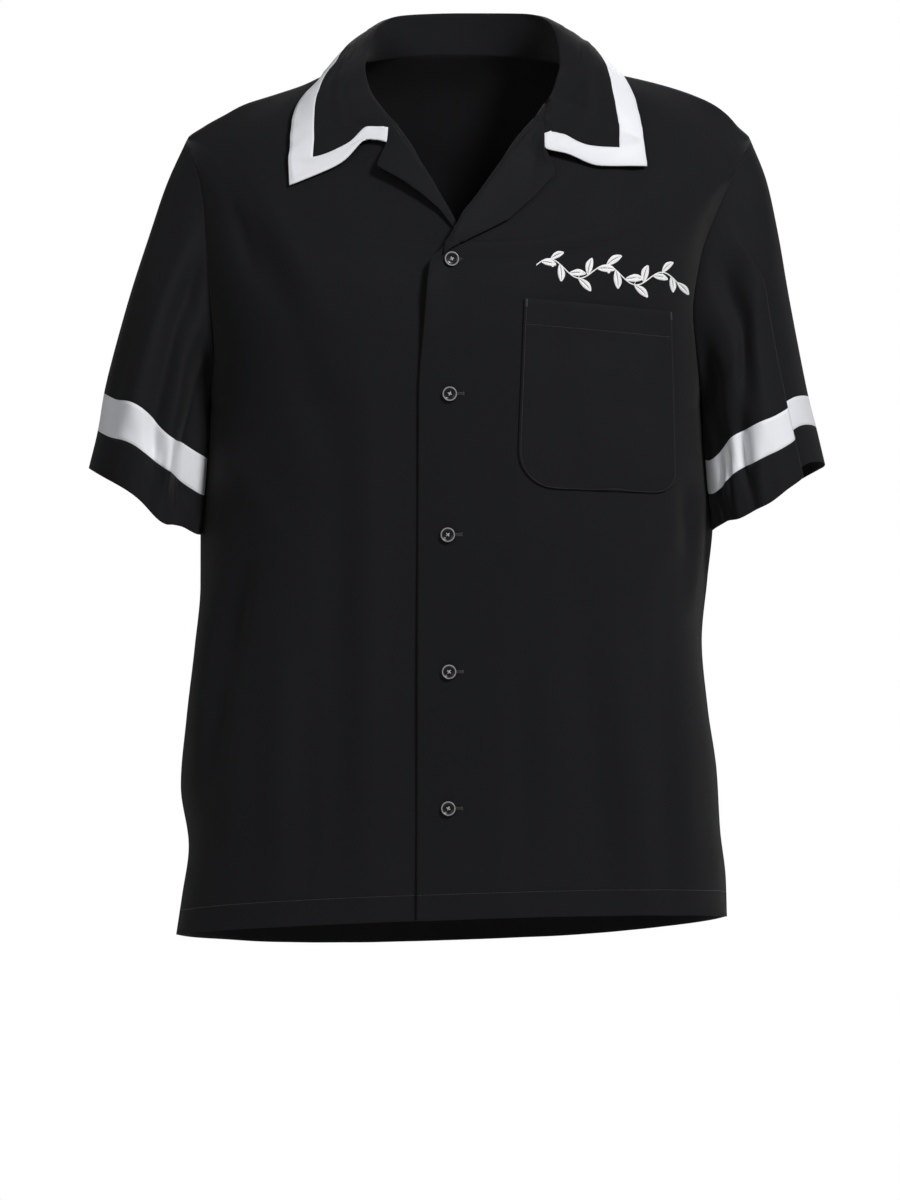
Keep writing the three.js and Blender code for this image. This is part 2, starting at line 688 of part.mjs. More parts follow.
/** The three pieces of a sleeve: its upper part, the white band and the black hem piece. */
function sleeveSheets(side) {
  const rings = sleeveRings(side);
  const turn = side === "right" ? -1 : 1;
  const piece = (name, from, to) =>
    new Sheet(name, rings.slice(SLEEVE_ROWS[from], SLEEVE_ROWS[to] + 1), { closed: true, turn });
  return [
    piece(`sleeve_${side}`, "armhole", "band_top"),
    piece(`sleeve_band_${side}`, "band_top", "band_bottom"),
    piece(`sleeve_hem_${side}`, "band_bottom", "hem"),
  ];
}

// ---------------------------------------------------------------- collar and lapels
/** The seam at the base of the collar, from the right gorge round the back to the left gorge. */
function neckSeam() {
  const points = [];
  for (let j = 0; j <= FRONT_CELLS; j += 1) points.push(corner(fronts.right, FRONT_CELLS, 0, j));
  for (let j = 1; j < BACK_CELLS; j += 1) points.push(corner(back, BACK_CELLS, 0, j));
  for (let j = FRONT_CELLS; j >= 0; j -= 1) points.push(corner(fronts.left, FRONT_CELLS, 0, j));
  return points;
}

/** Moves a point out until it is clear of the cloth that it lies on, or down onto it. */
function restOn(cover, point, gap, touch = false) {
  const foot = vec(0, 0, 0);
  let [nearest, best] = [Infinity, null];
  for (const { triangle, out } of cover) {
    triangle.closestPointToPoint(point, foot);
    const distance = foot.distanceToSquared(point);
    if (distance < nearest) {
      nearest = distance;
      best = { at: foot.clone(), out };
    }
  }
  const height = point.clone().sub(best.at).dot(best.out);
  return height < gap || touch ? point.addScaledVector(best.out, gap - height) : point;
}

/** The triangles of the cloth's mid-surface with their outward directions. */
function coverOf(sheets) {
  return sheets.flatMap((sheet) => sheet.quads.flatMap(([a, b, c, d]) =>
    [[a, b, c], [a, c, d]].map((corners) => {
      const out = vec(0, 0, 0);
      corners.forEach((k) => out.add(sheet.normals[k]));
      return { triangle: new THREE.Triangle(...corners.map((k) => sheet.points[k])), out: out.normalize() };
    })));
}

/** The fold at the roll: half a turn of cloth from its seam point to the layer above. */
function rollOver(side, seam) {
  const inboard = vec(side === "right" ? 1 : -1, 0, 0.6).normalize();
  const { out } = bodyAt("front", seam.x, seam.z);
  return Array.from({ length: ROLL_POINTS }, (_, n) => {
    const turn = (Math.PI * n) / (ROLL_POINTS - 1);
    return seam.clone()
      .addScaledVector(inboard, ROLL_RADIUS * Math.sin(turn))
      .addScaledVector(out, ROLL_RADIUS * (1 - Math.cos(turn)));
  });
}

const FALL_SHARES = [0.25, 0.5, 0.75]; // black rows of the fall between the roll and the trim
const EDGE_LIFT = 2.7; // how far the fall's outer edge stands off the shoulders
const FALL_BOW = 6; // how far the fall bows out between its roll and its edge
const LIE = (COLLAR_CLOTH + CLOTH) / 2 + REST_GAP; // mid-surface of what lies on a panel

/** The collar's ribs: up the stand, over the roll and down the fall to its outer edge. */
function collarRibs() {
  const seam = neckSeam();
  const cover = coverOf([fronts.right, fronts.left, back]);
  const half = (seam.length - 1) / 2;
  const run = lengths(seam);
  const [middle, whole] = [run[half], run[run.length - 1]];
  const around = run.map((r) => (r < middle ? r / middle - 1 : (r - middle) / (whole - middle)));
  const point = (part, s) => vec(...["x", "y", "z"].map((axis) => read(COLLAR, "around", `${part}_${axis}`, s)));
  return around.map((s, k) => {
    const [roll, edge] = [point("roll", s), restOn(cover, point("edge", s), LIE + EDGE_LIFT, true)];
    const along = point("roll", clamp(s + 0.02, -1, 1)).sub(point("roll", clamp(s - 0.02, -1, 1)));
    const down = edge.clone().sub(roll).normalize();
    const out = along.clone().cross(down).normalize();
    const near = (d, m) => roll.clone().addScaledVector(down, d).addScaledVector(out, m);
    const trim = 1 - TRIM_WIDTH / edge.distanceTo(roll);
    const start = near(ROLL_RADIUS * 1.2, ROLL_RADIUS);
    const onFall = (t) => {
      const p = start.clone().lerp(edge, t);
      return restOn(cover, p.addScaledVector(out, FALL_BOW * Math.sin(Math.PI * t)), LIE);
    };
    const inner = near(ROLL_RADIUS * 1.2, -ROLL_RADIUS);
    return [
      seam[k],
      seam[k].clone().lerp(inner, 0.5),
      inner,
      near(0, 0),
      start,
      ...FALL_SHARES.map((share) => onFall(share * trim)),
      onFall(trim),
      edge,
    ];
  });
}

/** The fall's part of a rib, laid over the chest through the places of a table. */
function laidOn(side, rows) {
  return rows.map(({ x, z, lift }) => onFront(side, x, z, LIE + lift));
}

/** The collar's ribs with both ends of the fall cut to the gorge and the collar points. */
function cutCollar() {
  const ribs = collarRibs();
  const last = ribs.length - 1;
  for (const [side, end, next] of [["right", 0, 1], ["left", last, last - 1]]) {
    ribs[end] = [...rollOver(side, ribs[end][0]), ...laidOn(side, COLLAR_ENDS[side].end)];
    ribs[next] = [...ribs[next].slice(0, ROLL_POINTS), ...laidOn(side, COLLAR_ENDS[side].band)];
  }
  return ribs;
}

/** The black collar and the white trim pieced round its fall. */
function collarSheets(ribs) {
  const ends = [0, ribs.length - 2];
  const isTrim = (i, j) => j === ribs[0].length - 2 || (j >= ROLL_POINTS && ends.includes(i));
  const style = { thickness: COLLAR_CLOTH, flip: -1, turn: -1 };
  return [
    new Sheet("collar", ribs, { ...style, keep: (i, j) => !isTrim(i, j) }),
    new Sheet("collar_trim", ribs, { ...style, keep: isTrim }),
  ];
}

/** One lapel: the front's facing, turned out over the roll and sewn to the collar at the gorge. */
function lapelSheet(side, collarEnd) {
  const cover = coverOf([fronts[side]]);
  const ribs = LAPELS[side].map((edge, i) => {
    const seam = corner(fronts[side], FRONT_CELLS, i, 0);
    const roll = rollOver(side, seam);
    const rest = [0.5, 1].map((t) => {
      const height = lerp(2 * ROLL_RADIUS, LIE + edge.lift, t);
      const p = onFront(side, lerp(seam.x, edge.x, t), lerp(seam.z, edge.z, t), height);
      return restOn(cover, p, LIE);
    });
    return [...roll, ...rest];
  });
  ribs[0] = collarEnd.slice(0, ribs[0].length);
  const turn = side === "right" ? 1 : -1;
  return new Sheet(`lapel_${side}`, ribs, { thickness: COLLAR_CLOTH, flip: -1, turn });
}

// ---------------------------------------------------------------- pocket and buttons
/** The chest pocket, laid on the left front with its lower corners rounded. */
function pocketSheet() {
  const { top, bottom, innerRadius, outerRadius, cells, pouch } = POCKET;
  const cover = coverOf([fronts.left]);
  const rows = Array.from({ length: cells + 1 }, (_, i) => {
    const v = 1 - (1 - i / cells) ** 1.5;
    const ends = [0, 1].map((n) => ({
      x: lerp(top[n].x, bottom[n].x, v),
      z: lerp(top[n].z, bottom[n].z, v),
    }));
    const height = (z0, z1) => Math.max(0, z1 - z0);
    const rise = [height(bottom[0].z, ends[0].z), height(bottom[1].z, ends[1].z)];
    const inset = [innerRadius, outerRadius].map((radius, n) => {
      const into = clamp(1 - rise[n] / radius, 0, 1);
      return radius * (1 - Math.sqrt(1 - into * into));
    });
    return Array.from({ length: cells + 1 }, (_, j) => {
      const u = j / cells;
      const x = lerp(ends[0].x + inset[0], ends[1].x - inset[1], u);
      const z = lerp(ends[0].z, ends[1].z, u);
      const full = pouch * (0.15 + Math.sin(Math.PI * u) * Math.sin(Math.PI * v));
      return restOn(cover, onFront("left", x, z, CLOTH + REST_GAP + full), CLOTH + REST_GAP + full);
    });
  });
  return new Sheet("pocket", rows, { turn: -1 });
}

/** A four-hole button with a raised rim, facing +Y of its own frame. */
function buttonGeometry(wasm) {
  const { radius, rim, height, dish, hole, holeReach } = BUTTON;
  const profile = [
    [0, 0],
    [radius - 0.9, 0],
    [radius, 0.9],
    [radius, height - 0.5],
    [radius - 0.5, height],
    [radius - rim, height - 0.2],
    [radius - rim - 0.6, height - dish],
    [0, height - dish],
  ];
  const disc = new THREE.LatheGeometry(profile.map(([r, h]) => new THREE.Vector2(r, h)), 20);
  const drill = new THREE.CylinderGeometry(hole, hole, 2 * height, 6);
  let body = solid(wasm, disc);
  for (const [x, z] of [[1, 1], [1, -1], [-1, 1], [-1, -1]]) {
    const placed = drill.clone().translate(x * holeReach * 0.75, height / 2, z * holeReach * 0.75);
    body = body.subtract(solid(wasm, placed));
  }
  const mesh = body.getMesh();
  const geometry = new THREE.BufferGeometry();
  geometry.setAttribute("position", new THREE.Float32BufferAttribute(mesh.vertProperties, 3));
  geometry.setIndex([...mesh.triVerts]);
  geometry.computeVertexNormals();
  return geometry;
}

/** A geometry as a manifold-3d solid, with its doubled vertices merged by position. */
function solid(wasm, geometry) {
  const position = geometry.attributes.position;
  const ids = new Map();
  const vertices = [];
  const merged = Array.from({ length: position.count }, (_, k) => {
    const p = [position.getX(k), position.getY(k), position.getZ(k)];
    const key = p.map((v) => Math.round(v * 1e4)).join();
    if (!ids.has(key)) {
      ids.set(key, ids.size);
      vertices.push(...p);
    }
    return ids.get(key);
  });
  const triangles = [];
  for (let n = 0; n < geometry.index.count; n += 3) {
    const corners = [0, 1, 2].map((m) => merged[geometry.index.getX(n + m)]);
    if (new Set(corners).size === 3) triangles.push(...corners);
  }
  return new wasm.Manifold(new wasm.Mesh({
    numProp: 3,
    vertProperties: new Float32Array(vertices),
    triVerts: new Uint32Array(triangles),
  }));
}

/** A button on the left front, its back REST_GAP clear of the cloth. */
function buttonMesh(geometry, row, number) {
  const mesh = meshOf(`button_${number}`, geometry, BUTTON_BLACK);
  const { out } = bodyAt("front", row.x, row.z);
  mesh.position.copy(onFront("left", row.x, row.z, CLOTH / 2 + REST_GAP));
  mesh.quaternion.setFromUnitVectors(vec(0, 1, 0), out);
  return mesh;
}

// ---------------------------------------------------------------- the shirt
/** A named mesh with its own material. */
function meshOf(name, geometry, finish) {
  const mesh = new THREE.Mesh(geometry, new THREE.MeshStandardMaterial(finish));
  mesh.name = name;
  return mesh;
}

const wasm = await Module();
wasm.setup();

const ribs = cutCollar();
const sheets = [
  fronts.right,
  fronts.left,
  back,
  ...sleeveSheets("right"),
  ...sleeveSheets("left"),
  ...collarSheets(ribs),
  lapelSheet("right", ribs[0]),
  lapelSheet("left", ribs[ribs.length - 1]),
  pocketSheet(),
];
sew(sheets);

const shirt = new THREE.Group();
for (const sheet of sheets) {
  const white = /band|trim/.test(sheet.name);
  shirt.add(meshOf(sheet.name, sheet.wall(), white ? WHITE : BLACK));
}
const button = buttonGeometry(wasm);
BUTTONS.forEach((row, n) => shirt.add(buttonMesh(button, row, n + 1)));

export default shirt;
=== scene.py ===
"""A short-sleeved waiter shirt with an open collar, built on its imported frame.

Sizes are in millimetres where a maker would write them and are turned into metres when a mesh is
made. The shirt faces -Y, +Z is up, and the wearer's left is +X.
"""

import logging
import math
from dataclasses import dataclass, field
from enum import Enum

import bpy
import numpy as np
from bpy.types import Material, Mesh, Node, NodeSocket, Object, World
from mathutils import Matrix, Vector
from mathutils.bvhtree import BVHTree

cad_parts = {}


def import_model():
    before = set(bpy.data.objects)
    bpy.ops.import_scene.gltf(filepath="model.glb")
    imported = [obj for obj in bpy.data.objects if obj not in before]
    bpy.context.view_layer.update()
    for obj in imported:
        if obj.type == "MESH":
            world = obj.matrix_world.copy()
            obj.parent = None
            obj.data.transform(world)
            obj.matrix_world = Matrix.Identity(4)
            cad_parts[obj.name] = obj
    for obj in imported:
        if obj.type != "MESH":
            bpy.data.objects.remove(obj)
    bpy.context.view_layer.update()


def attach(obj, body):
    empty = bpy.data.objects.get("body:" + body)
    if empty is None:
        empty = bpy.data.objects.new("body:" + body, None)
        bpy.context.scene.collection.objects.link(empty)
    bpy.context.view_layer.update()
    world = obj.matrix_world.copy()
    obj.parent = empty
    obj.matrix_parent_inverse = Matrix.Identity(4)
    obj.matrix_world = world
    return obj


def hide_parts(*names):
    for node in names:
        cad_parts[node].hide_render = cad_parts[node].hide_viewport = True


Array = np.ndarray
MM = 0.001
NO_HEM = 400.0
RAY_FROM = -400.0
CHEST = -100.0
NEAR = 30.0
PULL = 0.6
LOG = logging.getLogger("waiter_shirt")


# ---- small helpers
def unit(vectors: Array) -> Array:
    """Vectors scaled to length one."""
    return vectors / np.maximum(np.linalg.norm(vectors, axis=-1, keepdims=True), 1e-9)


def bell(distance: Array, width: float) -> Array:
    """A soft hump, one at no distance and nearly gone at twice the width."""
    return np.exp(-((distance / width) ** 2))


def soften(share: Array | float) -> Array | float:
    """A share eased in and out between zero and one."""
    held = np.clip(share, 0.0, 1.0)
    return held * held * (3.0 - 2.0 * held)


def ease(value: Array | float, start: float, span: float) -> Array | float:
    """Nothing up to a start, and one from a span past it on."""
    return soften((value - start) / span)


def lerp(a: Array, b: Array, share: Array) -> Array:
    """The value a share of the way from a to b."""
    return a + (b - a) * share


def smooth_read(keys: Array, values: Array, at: Array) -> Array:
    """Reads rows of values on a smooth curve that never overshoots them.

    Args:
        keys: rising positions of the rows.
        values: one number or one point for each row.
        at: positions to read.

    Returns:
        The values there, with the shape of at and then of one row.
    """
    at = np.clip(np.asarray(at, float), keys[0], keys[-1])
    lift = (slice(None),) + (None,) * (values.ndim - 1)
    gaps = np.diff(keys)[lift]
    slope = np.diff(values, axis=0) / gaps
    tangent = np.concatenate([slope[:1], np.zeros_like(slope[1:]), slope[-1:]])
    before, after = slope[:-1], slope[1:]
    agree = before * after > 0
    total = np.where(agree, before + after, 1.0)
    tangent[1:-1] = np.where(agree, 2.0 * before * after / total, 0.0)
    i = np.clip(np.searchsorted(keys, at) - 1, 0, len(keys) - 2)
    t = (at - keys[i]) / (keys[i + 1] - keys[i])
    t = t.reshape(t.shape + (1,) * (values.ndim - 1))
    h = gaps[i] if values.ndim == 1 else gaps[i].reshape(t.shape)
    s = t * t
    return (
        values[i] * (1 + s * (2 * t - 3))
        + values[i + 1] * s * (3 - 2 * t)
        + h * (tangent[i] * (t - 2 * s + s * t) + tangent[i + 1] * (s * t - s))
    )


@dataclass(frozen=True)
class SizeTable:
    """Rows of sizes with named columns."""

    columns: tuple[str, ...]
    rows: tuple[tuple[float, ...], ...]

    def column(self, name: str) -> Array:
        """One column, from the first row to the last."""
        return np.array([row[self.columns.index(name)] for row in self.rows], float)

    def read(self, key: str, name: str, at: Array) -> Array:
        """One column read at any place along another.

        Args:
            key: the column that is the position, rising or falling.
            name: the column to read.
            at: the positions.

        Returns:
            The column's values there.
        """
        keys, values = self.column(key), self.column(name)
        if keys[0] > keys[-1]:
            keys, values = keys[::-1], values[::-1]
        return smooth_read(keys, values, at)


def table(columns: str, *rows: tuple[float, ...]) -> SizeTable:
    """A table from the names of its columns, with blanks between them, and its rows."""
    return SizeTable(tuple(columns.split()), rows)


class Face(Enum):
    """The half of the body that a panel belongs to, and the way it lies from the side seam."""

    FRONT = -1
    BACK = 1


class Side(Enum):
    """The wearer's side, and its sign along X."""

    RIGHT = -1
    LEFT = 1

    @property
    def word(self) -> str:
        """The side as it stands in piece names."""
        return self.name.lower()


class Ripple:
    """Small uneven waves of cloth, the same on each run."""

    COUNT = 9
    SPREAD = 0.45
    STRAY = 0.25
    GAIN = 2.2

    def __init__(self, seed: int, low: float, high: float, lean: float) -> None:
        """Draws the waves.

        Args:
            seed: which waves are drawn.
            low: shortest wave length in millimetres.
            high: longest wave length.
            lean: how much longer the waves are up and down than across.
        """
        draw = np.random.default_rng(seed)
        turn = draw.normal(0.0, self.SPREAD, self.COUNT)
        number = 2 * math.pi / draw.uniform(low, high, self.COUNT)
        self.across = number * np.cos(turn)
        self.along = number * (np.sin(turn) + draw.normal(0.0, self.STRAY, self.COUNT)) / lean
        self.start = draw.uniform(0.0, 2 * math.pi, self.COUNT)

    def at(self, a: Array, b: Array) -> Array:
        """Height of the waves, about -1 to 1, at distances across and along the cloth."""
        waves = np.sin(a[..., None] * self.across + b[..., None] * self.along + self.start)
        return waves.mean(axis=-1) * self.GAIN


# ---- cloth as a wall
@dataclass
class ClothGrid:
    """The middle of a piece of cloth as rows of points, and what is known at each of them."""

    points: Array
    facing: int = 1
    closed: bool = False
    fields: dict[str, Array] = field(default_factory=dict)

    def normals(self) -> Array:
        """Outward directions at the points.

        Returns:
            One unit vector for each point.
        """
        if self.closed:
            around = np.roll(self.points, -1, axis=1) - np.roll(self.points, 1, axis=1)
        else:
            around = np.gradient(self.points, axis=1)
        down = np.gradient(self.points, axis=0)
        return unit(np.cross(around, down)) * self.facing

    def moved(self, height: Array) -> "ClothGrid":
        """The same cloth with each point moved outward by its height."""
        points = self.points + self.normals() * height[..., None]
        return ClothGrid(points, self.facing, self.closed, self.fields)

    def cells(self, keep: Array | None) -> Array:
        """Corner numbers of the kept cells, four to a row.

        Args:
            keep: which cells the piece has, or None for all.

        Returns:
            An array of four corner numbers for each kept cell.
        """
        rows, columns = self.points.shape[:2]
        across = columns if self.closed else columns - 1
        i, j = np.meshgrid(np.arange(rows - 1), np.arange(across), indexing="ij")
        if keep is not None:
            i, j = i[keep], j[keep]
        i, j = i.ravel(), j.ravel()
        right = (j + 1) % columns
        low, high = i * columns, (i + 1) * columns
        return np.stack([low + j, low + right, high + right, high + j], axis=1)

    def hit_map(self) -> BVHTree:
        """The surface as a tree that can be searched for nearest places, its faces outward."""
        quads = self.cells(None)[:, :: self.facing]
        return BVHTree.FromPolygons(self.points.reshape(-1, 3).tolist(), quads.tolist())

    def wall(self, name: str, thickness: float, keep: Array | None = None) -> Object:
        """Makes the piece as a closed wall of cloth with a rounded edge.

        Args:
            name: the new object's name.
            thickness: of the cloth, in millimetres.
            keep: which cells the piece has, or None for all.

        Returns:
            The new object.
        """
        quads = self.cells(keep)
        used, index = np.unique(quads, return_inverse=True)
        quads = index.reshape(quads.shape)
        points = self.points.reshape(-1, 3)[used]
        normals = self.normals().reshape(-1, 3)[used]
        count = len(points)
        edges = np.concatenate([quads[:, [k, (k + 1) % 4]] for k in range(4)])
        owner = np.tile(np.arange(len(quads)), 4)
        key = edges[:, 0] * count + edges[:, 1]
        back = edges[:, 1] * count + edges[:, 0]
        open_edge = ~np.isin(key, back)
        rim, owner = edges[open_edge], owner[open_edge]
        away = points[rim].mean(axis=1) - points[quads[owner]].mean(axis=1)
        push = np.zeros_like(points)
        np.add.at(push, rim[:, 0], unit(away))
        np.add.at(push, rim[:, 1], unit(away))
        push -= normals * np.sum(push * normals, axis=1, keepdims=True)
        bound = np.unique(rim)
        middle = np.full(count, -1)
        middle[bound] = 2 * count + np.arange(len(bound))
        half = thickness / 2
        vertices = np.concatenate(
            [
                points + normals * half,
                points - normals * half,
                points[bound] + unit(push[bound]) * half * 0.9,
            ]
        )
        a, b = rim[:, 0], rim[:, 1]
        strips = [
            np.stack([b, a, middle[a], middle[b]], axis=1),
            np.stack([middle[b], middle[a], count + a, count + b], axis=1),
        ]
        faces = np.concatenate([quads, quads[:, ::-1] + count, *strips])
        if self.facing < 0:
            faces = faces[:, ::-1]
        order = np.concatenate([np.arange(count), np.arange(count), bound])
        fields = {k: v.reshape(-1)[used][order] for k, v in self.fields.items()}
        return new_object(name, vertices, faces, fields)


def new_object(
    name: str,
    vertices: Array,
    faces: Array | list,
    fields: dict[str, Array] | None = None,
) -> Object:
    """Makes a smooth mesh object from millimetres.

    Args:
        name: of the object and its mesh.
        vertices: its points.
        faces: corner numbers of its faces.
        fields: numbers kept at the points for the finishes to read.

    Returns:
        The new object, linked to the scene.
    """
    mesh = bpy.data.meshes.new(name)
    rows = faces.tolist() if isinstance(faces, Array) else faces
    mesh.from_pydata((np.asarray(vertices) * MM).tolist(), [], rows)
    mesh.polygons.foreach_set("use_smooth", [True] * len(mesh.polygons))
    for key, values in (fields or {}).items():
        layer = mesh.attributes.new(key, "FLOAT", "POINT")
        layer.data.foreach_set("value", np.asarray(values, np.float32))
    mesh.update()
    item = bpy.data.objects.new(name, mesh)
    bpy.context.collection.objects.link(item)
    return item


def cloth_fields(
    across: Array, down: Array, seam: Array, hem: Array | None = None
) -> dict[str, Array]:
    """What the finishes read at the points of a sheet.

    Args:
        across: distance along the weft.
        down: distance along the warp.
        seam: distance from the nearest sewn edge.
        hem: distance from the hem, or None for a sheet without a sewn hem.

    Returns:
        The distances in millimetres, by the names that the finishes know.
    """
    hem = np.full_like(down, NO_HEM) if hem is None else hem
    return {"weft_mm": across, "warp_mm": down, "seam_mm": seam, "hem_mm": hem}


def read_line(at: Array, keys: Array, line: Array) -> Array:
    """The points of a line at any places, from the rising place of each of its own points."""
    return np.stack([np.interp(at, keys, line[:, axis]) for axis in range(3)], axis=-1)


def run_lengths(points: Array, axis: int) -> Array:
    """Distance along a grid of points from its first line, in the direction of an axis."""
    steps = np.linalg.norm(np.diff(points, axis=axis), axis=-1)
    return np.insert(np.cumsum(steps, axis=axis), 0, 0.0, axis=axis)


def shares_with_rims(
    count: int, length: float, rims: tuple[bool, bool], rim: float = 0.8
) -> Array:
    """Even shares of a length, with one more line close to each free end.

    Args:
        count: how many even cells.
        length: the whole length in millimetres.
        rims: whether the start and the end get the extra line.
        rim: its distance from the end.

    Returns:
        Rising shares from 0 to 1.
    """
    shares = np.linspace(0.0, 1.0, count + 1)
    extra = [rim / length] if rims[0] else []
    extra += [1.0 - rim / length] if rims[1] else []
    return np.sort(np.concatenate([shares, extra]))


def mean_beside(points: Array) -> Array:
    """The mean of the four neighbours of each inner point."""
    return (points[:-2, 1:-1] + points[2:, 1:-1] + points[1:-1, :-2] + points[1:-1, 2:]) / 4


def relaxed(
    points: Array, facing: int, rounds: int, columns: slice = slice(None)
) -> Array:
    """Softens a sheet's sharp bends, moving its inner points only in or out.

    Args:
        points: rows and columns of points.
        facing: the sheet's outward side.
        rounds: how often each point is drawn to its neighbours.
        columns: the part to soften.

    Returns:
        The softened points.
    """
    whole = points.copy()
    part = whole[:, columns]
    out = ClothGrid(part, facing).normals()[1:-1, 1:-1]
    for _ in range(rounds):
        pull = np.sum((mean_beside(part) - part[1:-1, 1:-1]) * out, axis=-1, keepdims=True)
        part[1:-1, 1:-1] += PULL * pull * out
    return whole


def seen_from_front(tree: BVHTree, x: float, z: float) -> tuple[Vector, Vector]:
    """The place on a surface that is seen from the front at x and z, and outward there.

    Args:
        tree: the surface.
        x: place across.
        z: place up.

    Returns:
        The place, or the nearest one where nothing is seen, and the direction.
    """
    at, out, _, _ = tree.ray_cast(Vector((x, RAY_FROM, z)), Vector((0, 1, 0)))
    if at is None:
        at, out, _, _ = tree.find_nearest(Vector((x, CHEST, z)))
    return at, out if out.y < 0 else -out


def lay_on(tree: BVHTree, x: Array, z: Array, height: Array) -> Array:
    """Places seen from the front at x and z, laid on a surface.

    Args:
        tree: the surface.
        x: places across.
        z: places up.
        height: how far each stands off the surface.

    Returns:
        The points.
    """
    x, z, height = np.broadcast_arrays(x, z, height)
    found = np.empty(x.shape + (3,))
    for place in np.ndindex(x.shape):
        at, out = seen_from_front(tree, x[place], z[place])
        found[place] = at + out * float(height[place])
    return found


def nearest(trees: list[BVHTree], p: Vector) -> tuple[Vector, Vector, int, float]:
    """The nearest place on several surfaces: place, outward, face and distance."""
    return min((tree.find_nearest(p) for tree in trees), key=lambda hit: hit[3])


def lift_clear(trees: list[BVHTree], points: Array, gap: Array) -> Array:
    """Moves points outward until they clear the cloth under them.

    Args:
        trees: the surfaces that lie under the piece, their faces outward.
        points: the piece's points.
        gap: the least height of each over the nearest surface.

    Returns:
        The moved points.
    """
    gap = np.broadcast_to(gap, points.shape[:-1])
    moved = points.copy()
    for place in np.ndindex(points.shape[:-1]):
        p = Vector(points[place])
        at, out, _, distance = nearest(trees, p)
        height = (p - at).dot(out)
        if distance < NEAR and height < gap[place]:
            moved[place] = p + out * (float(gap[place]) - height)
    return moved


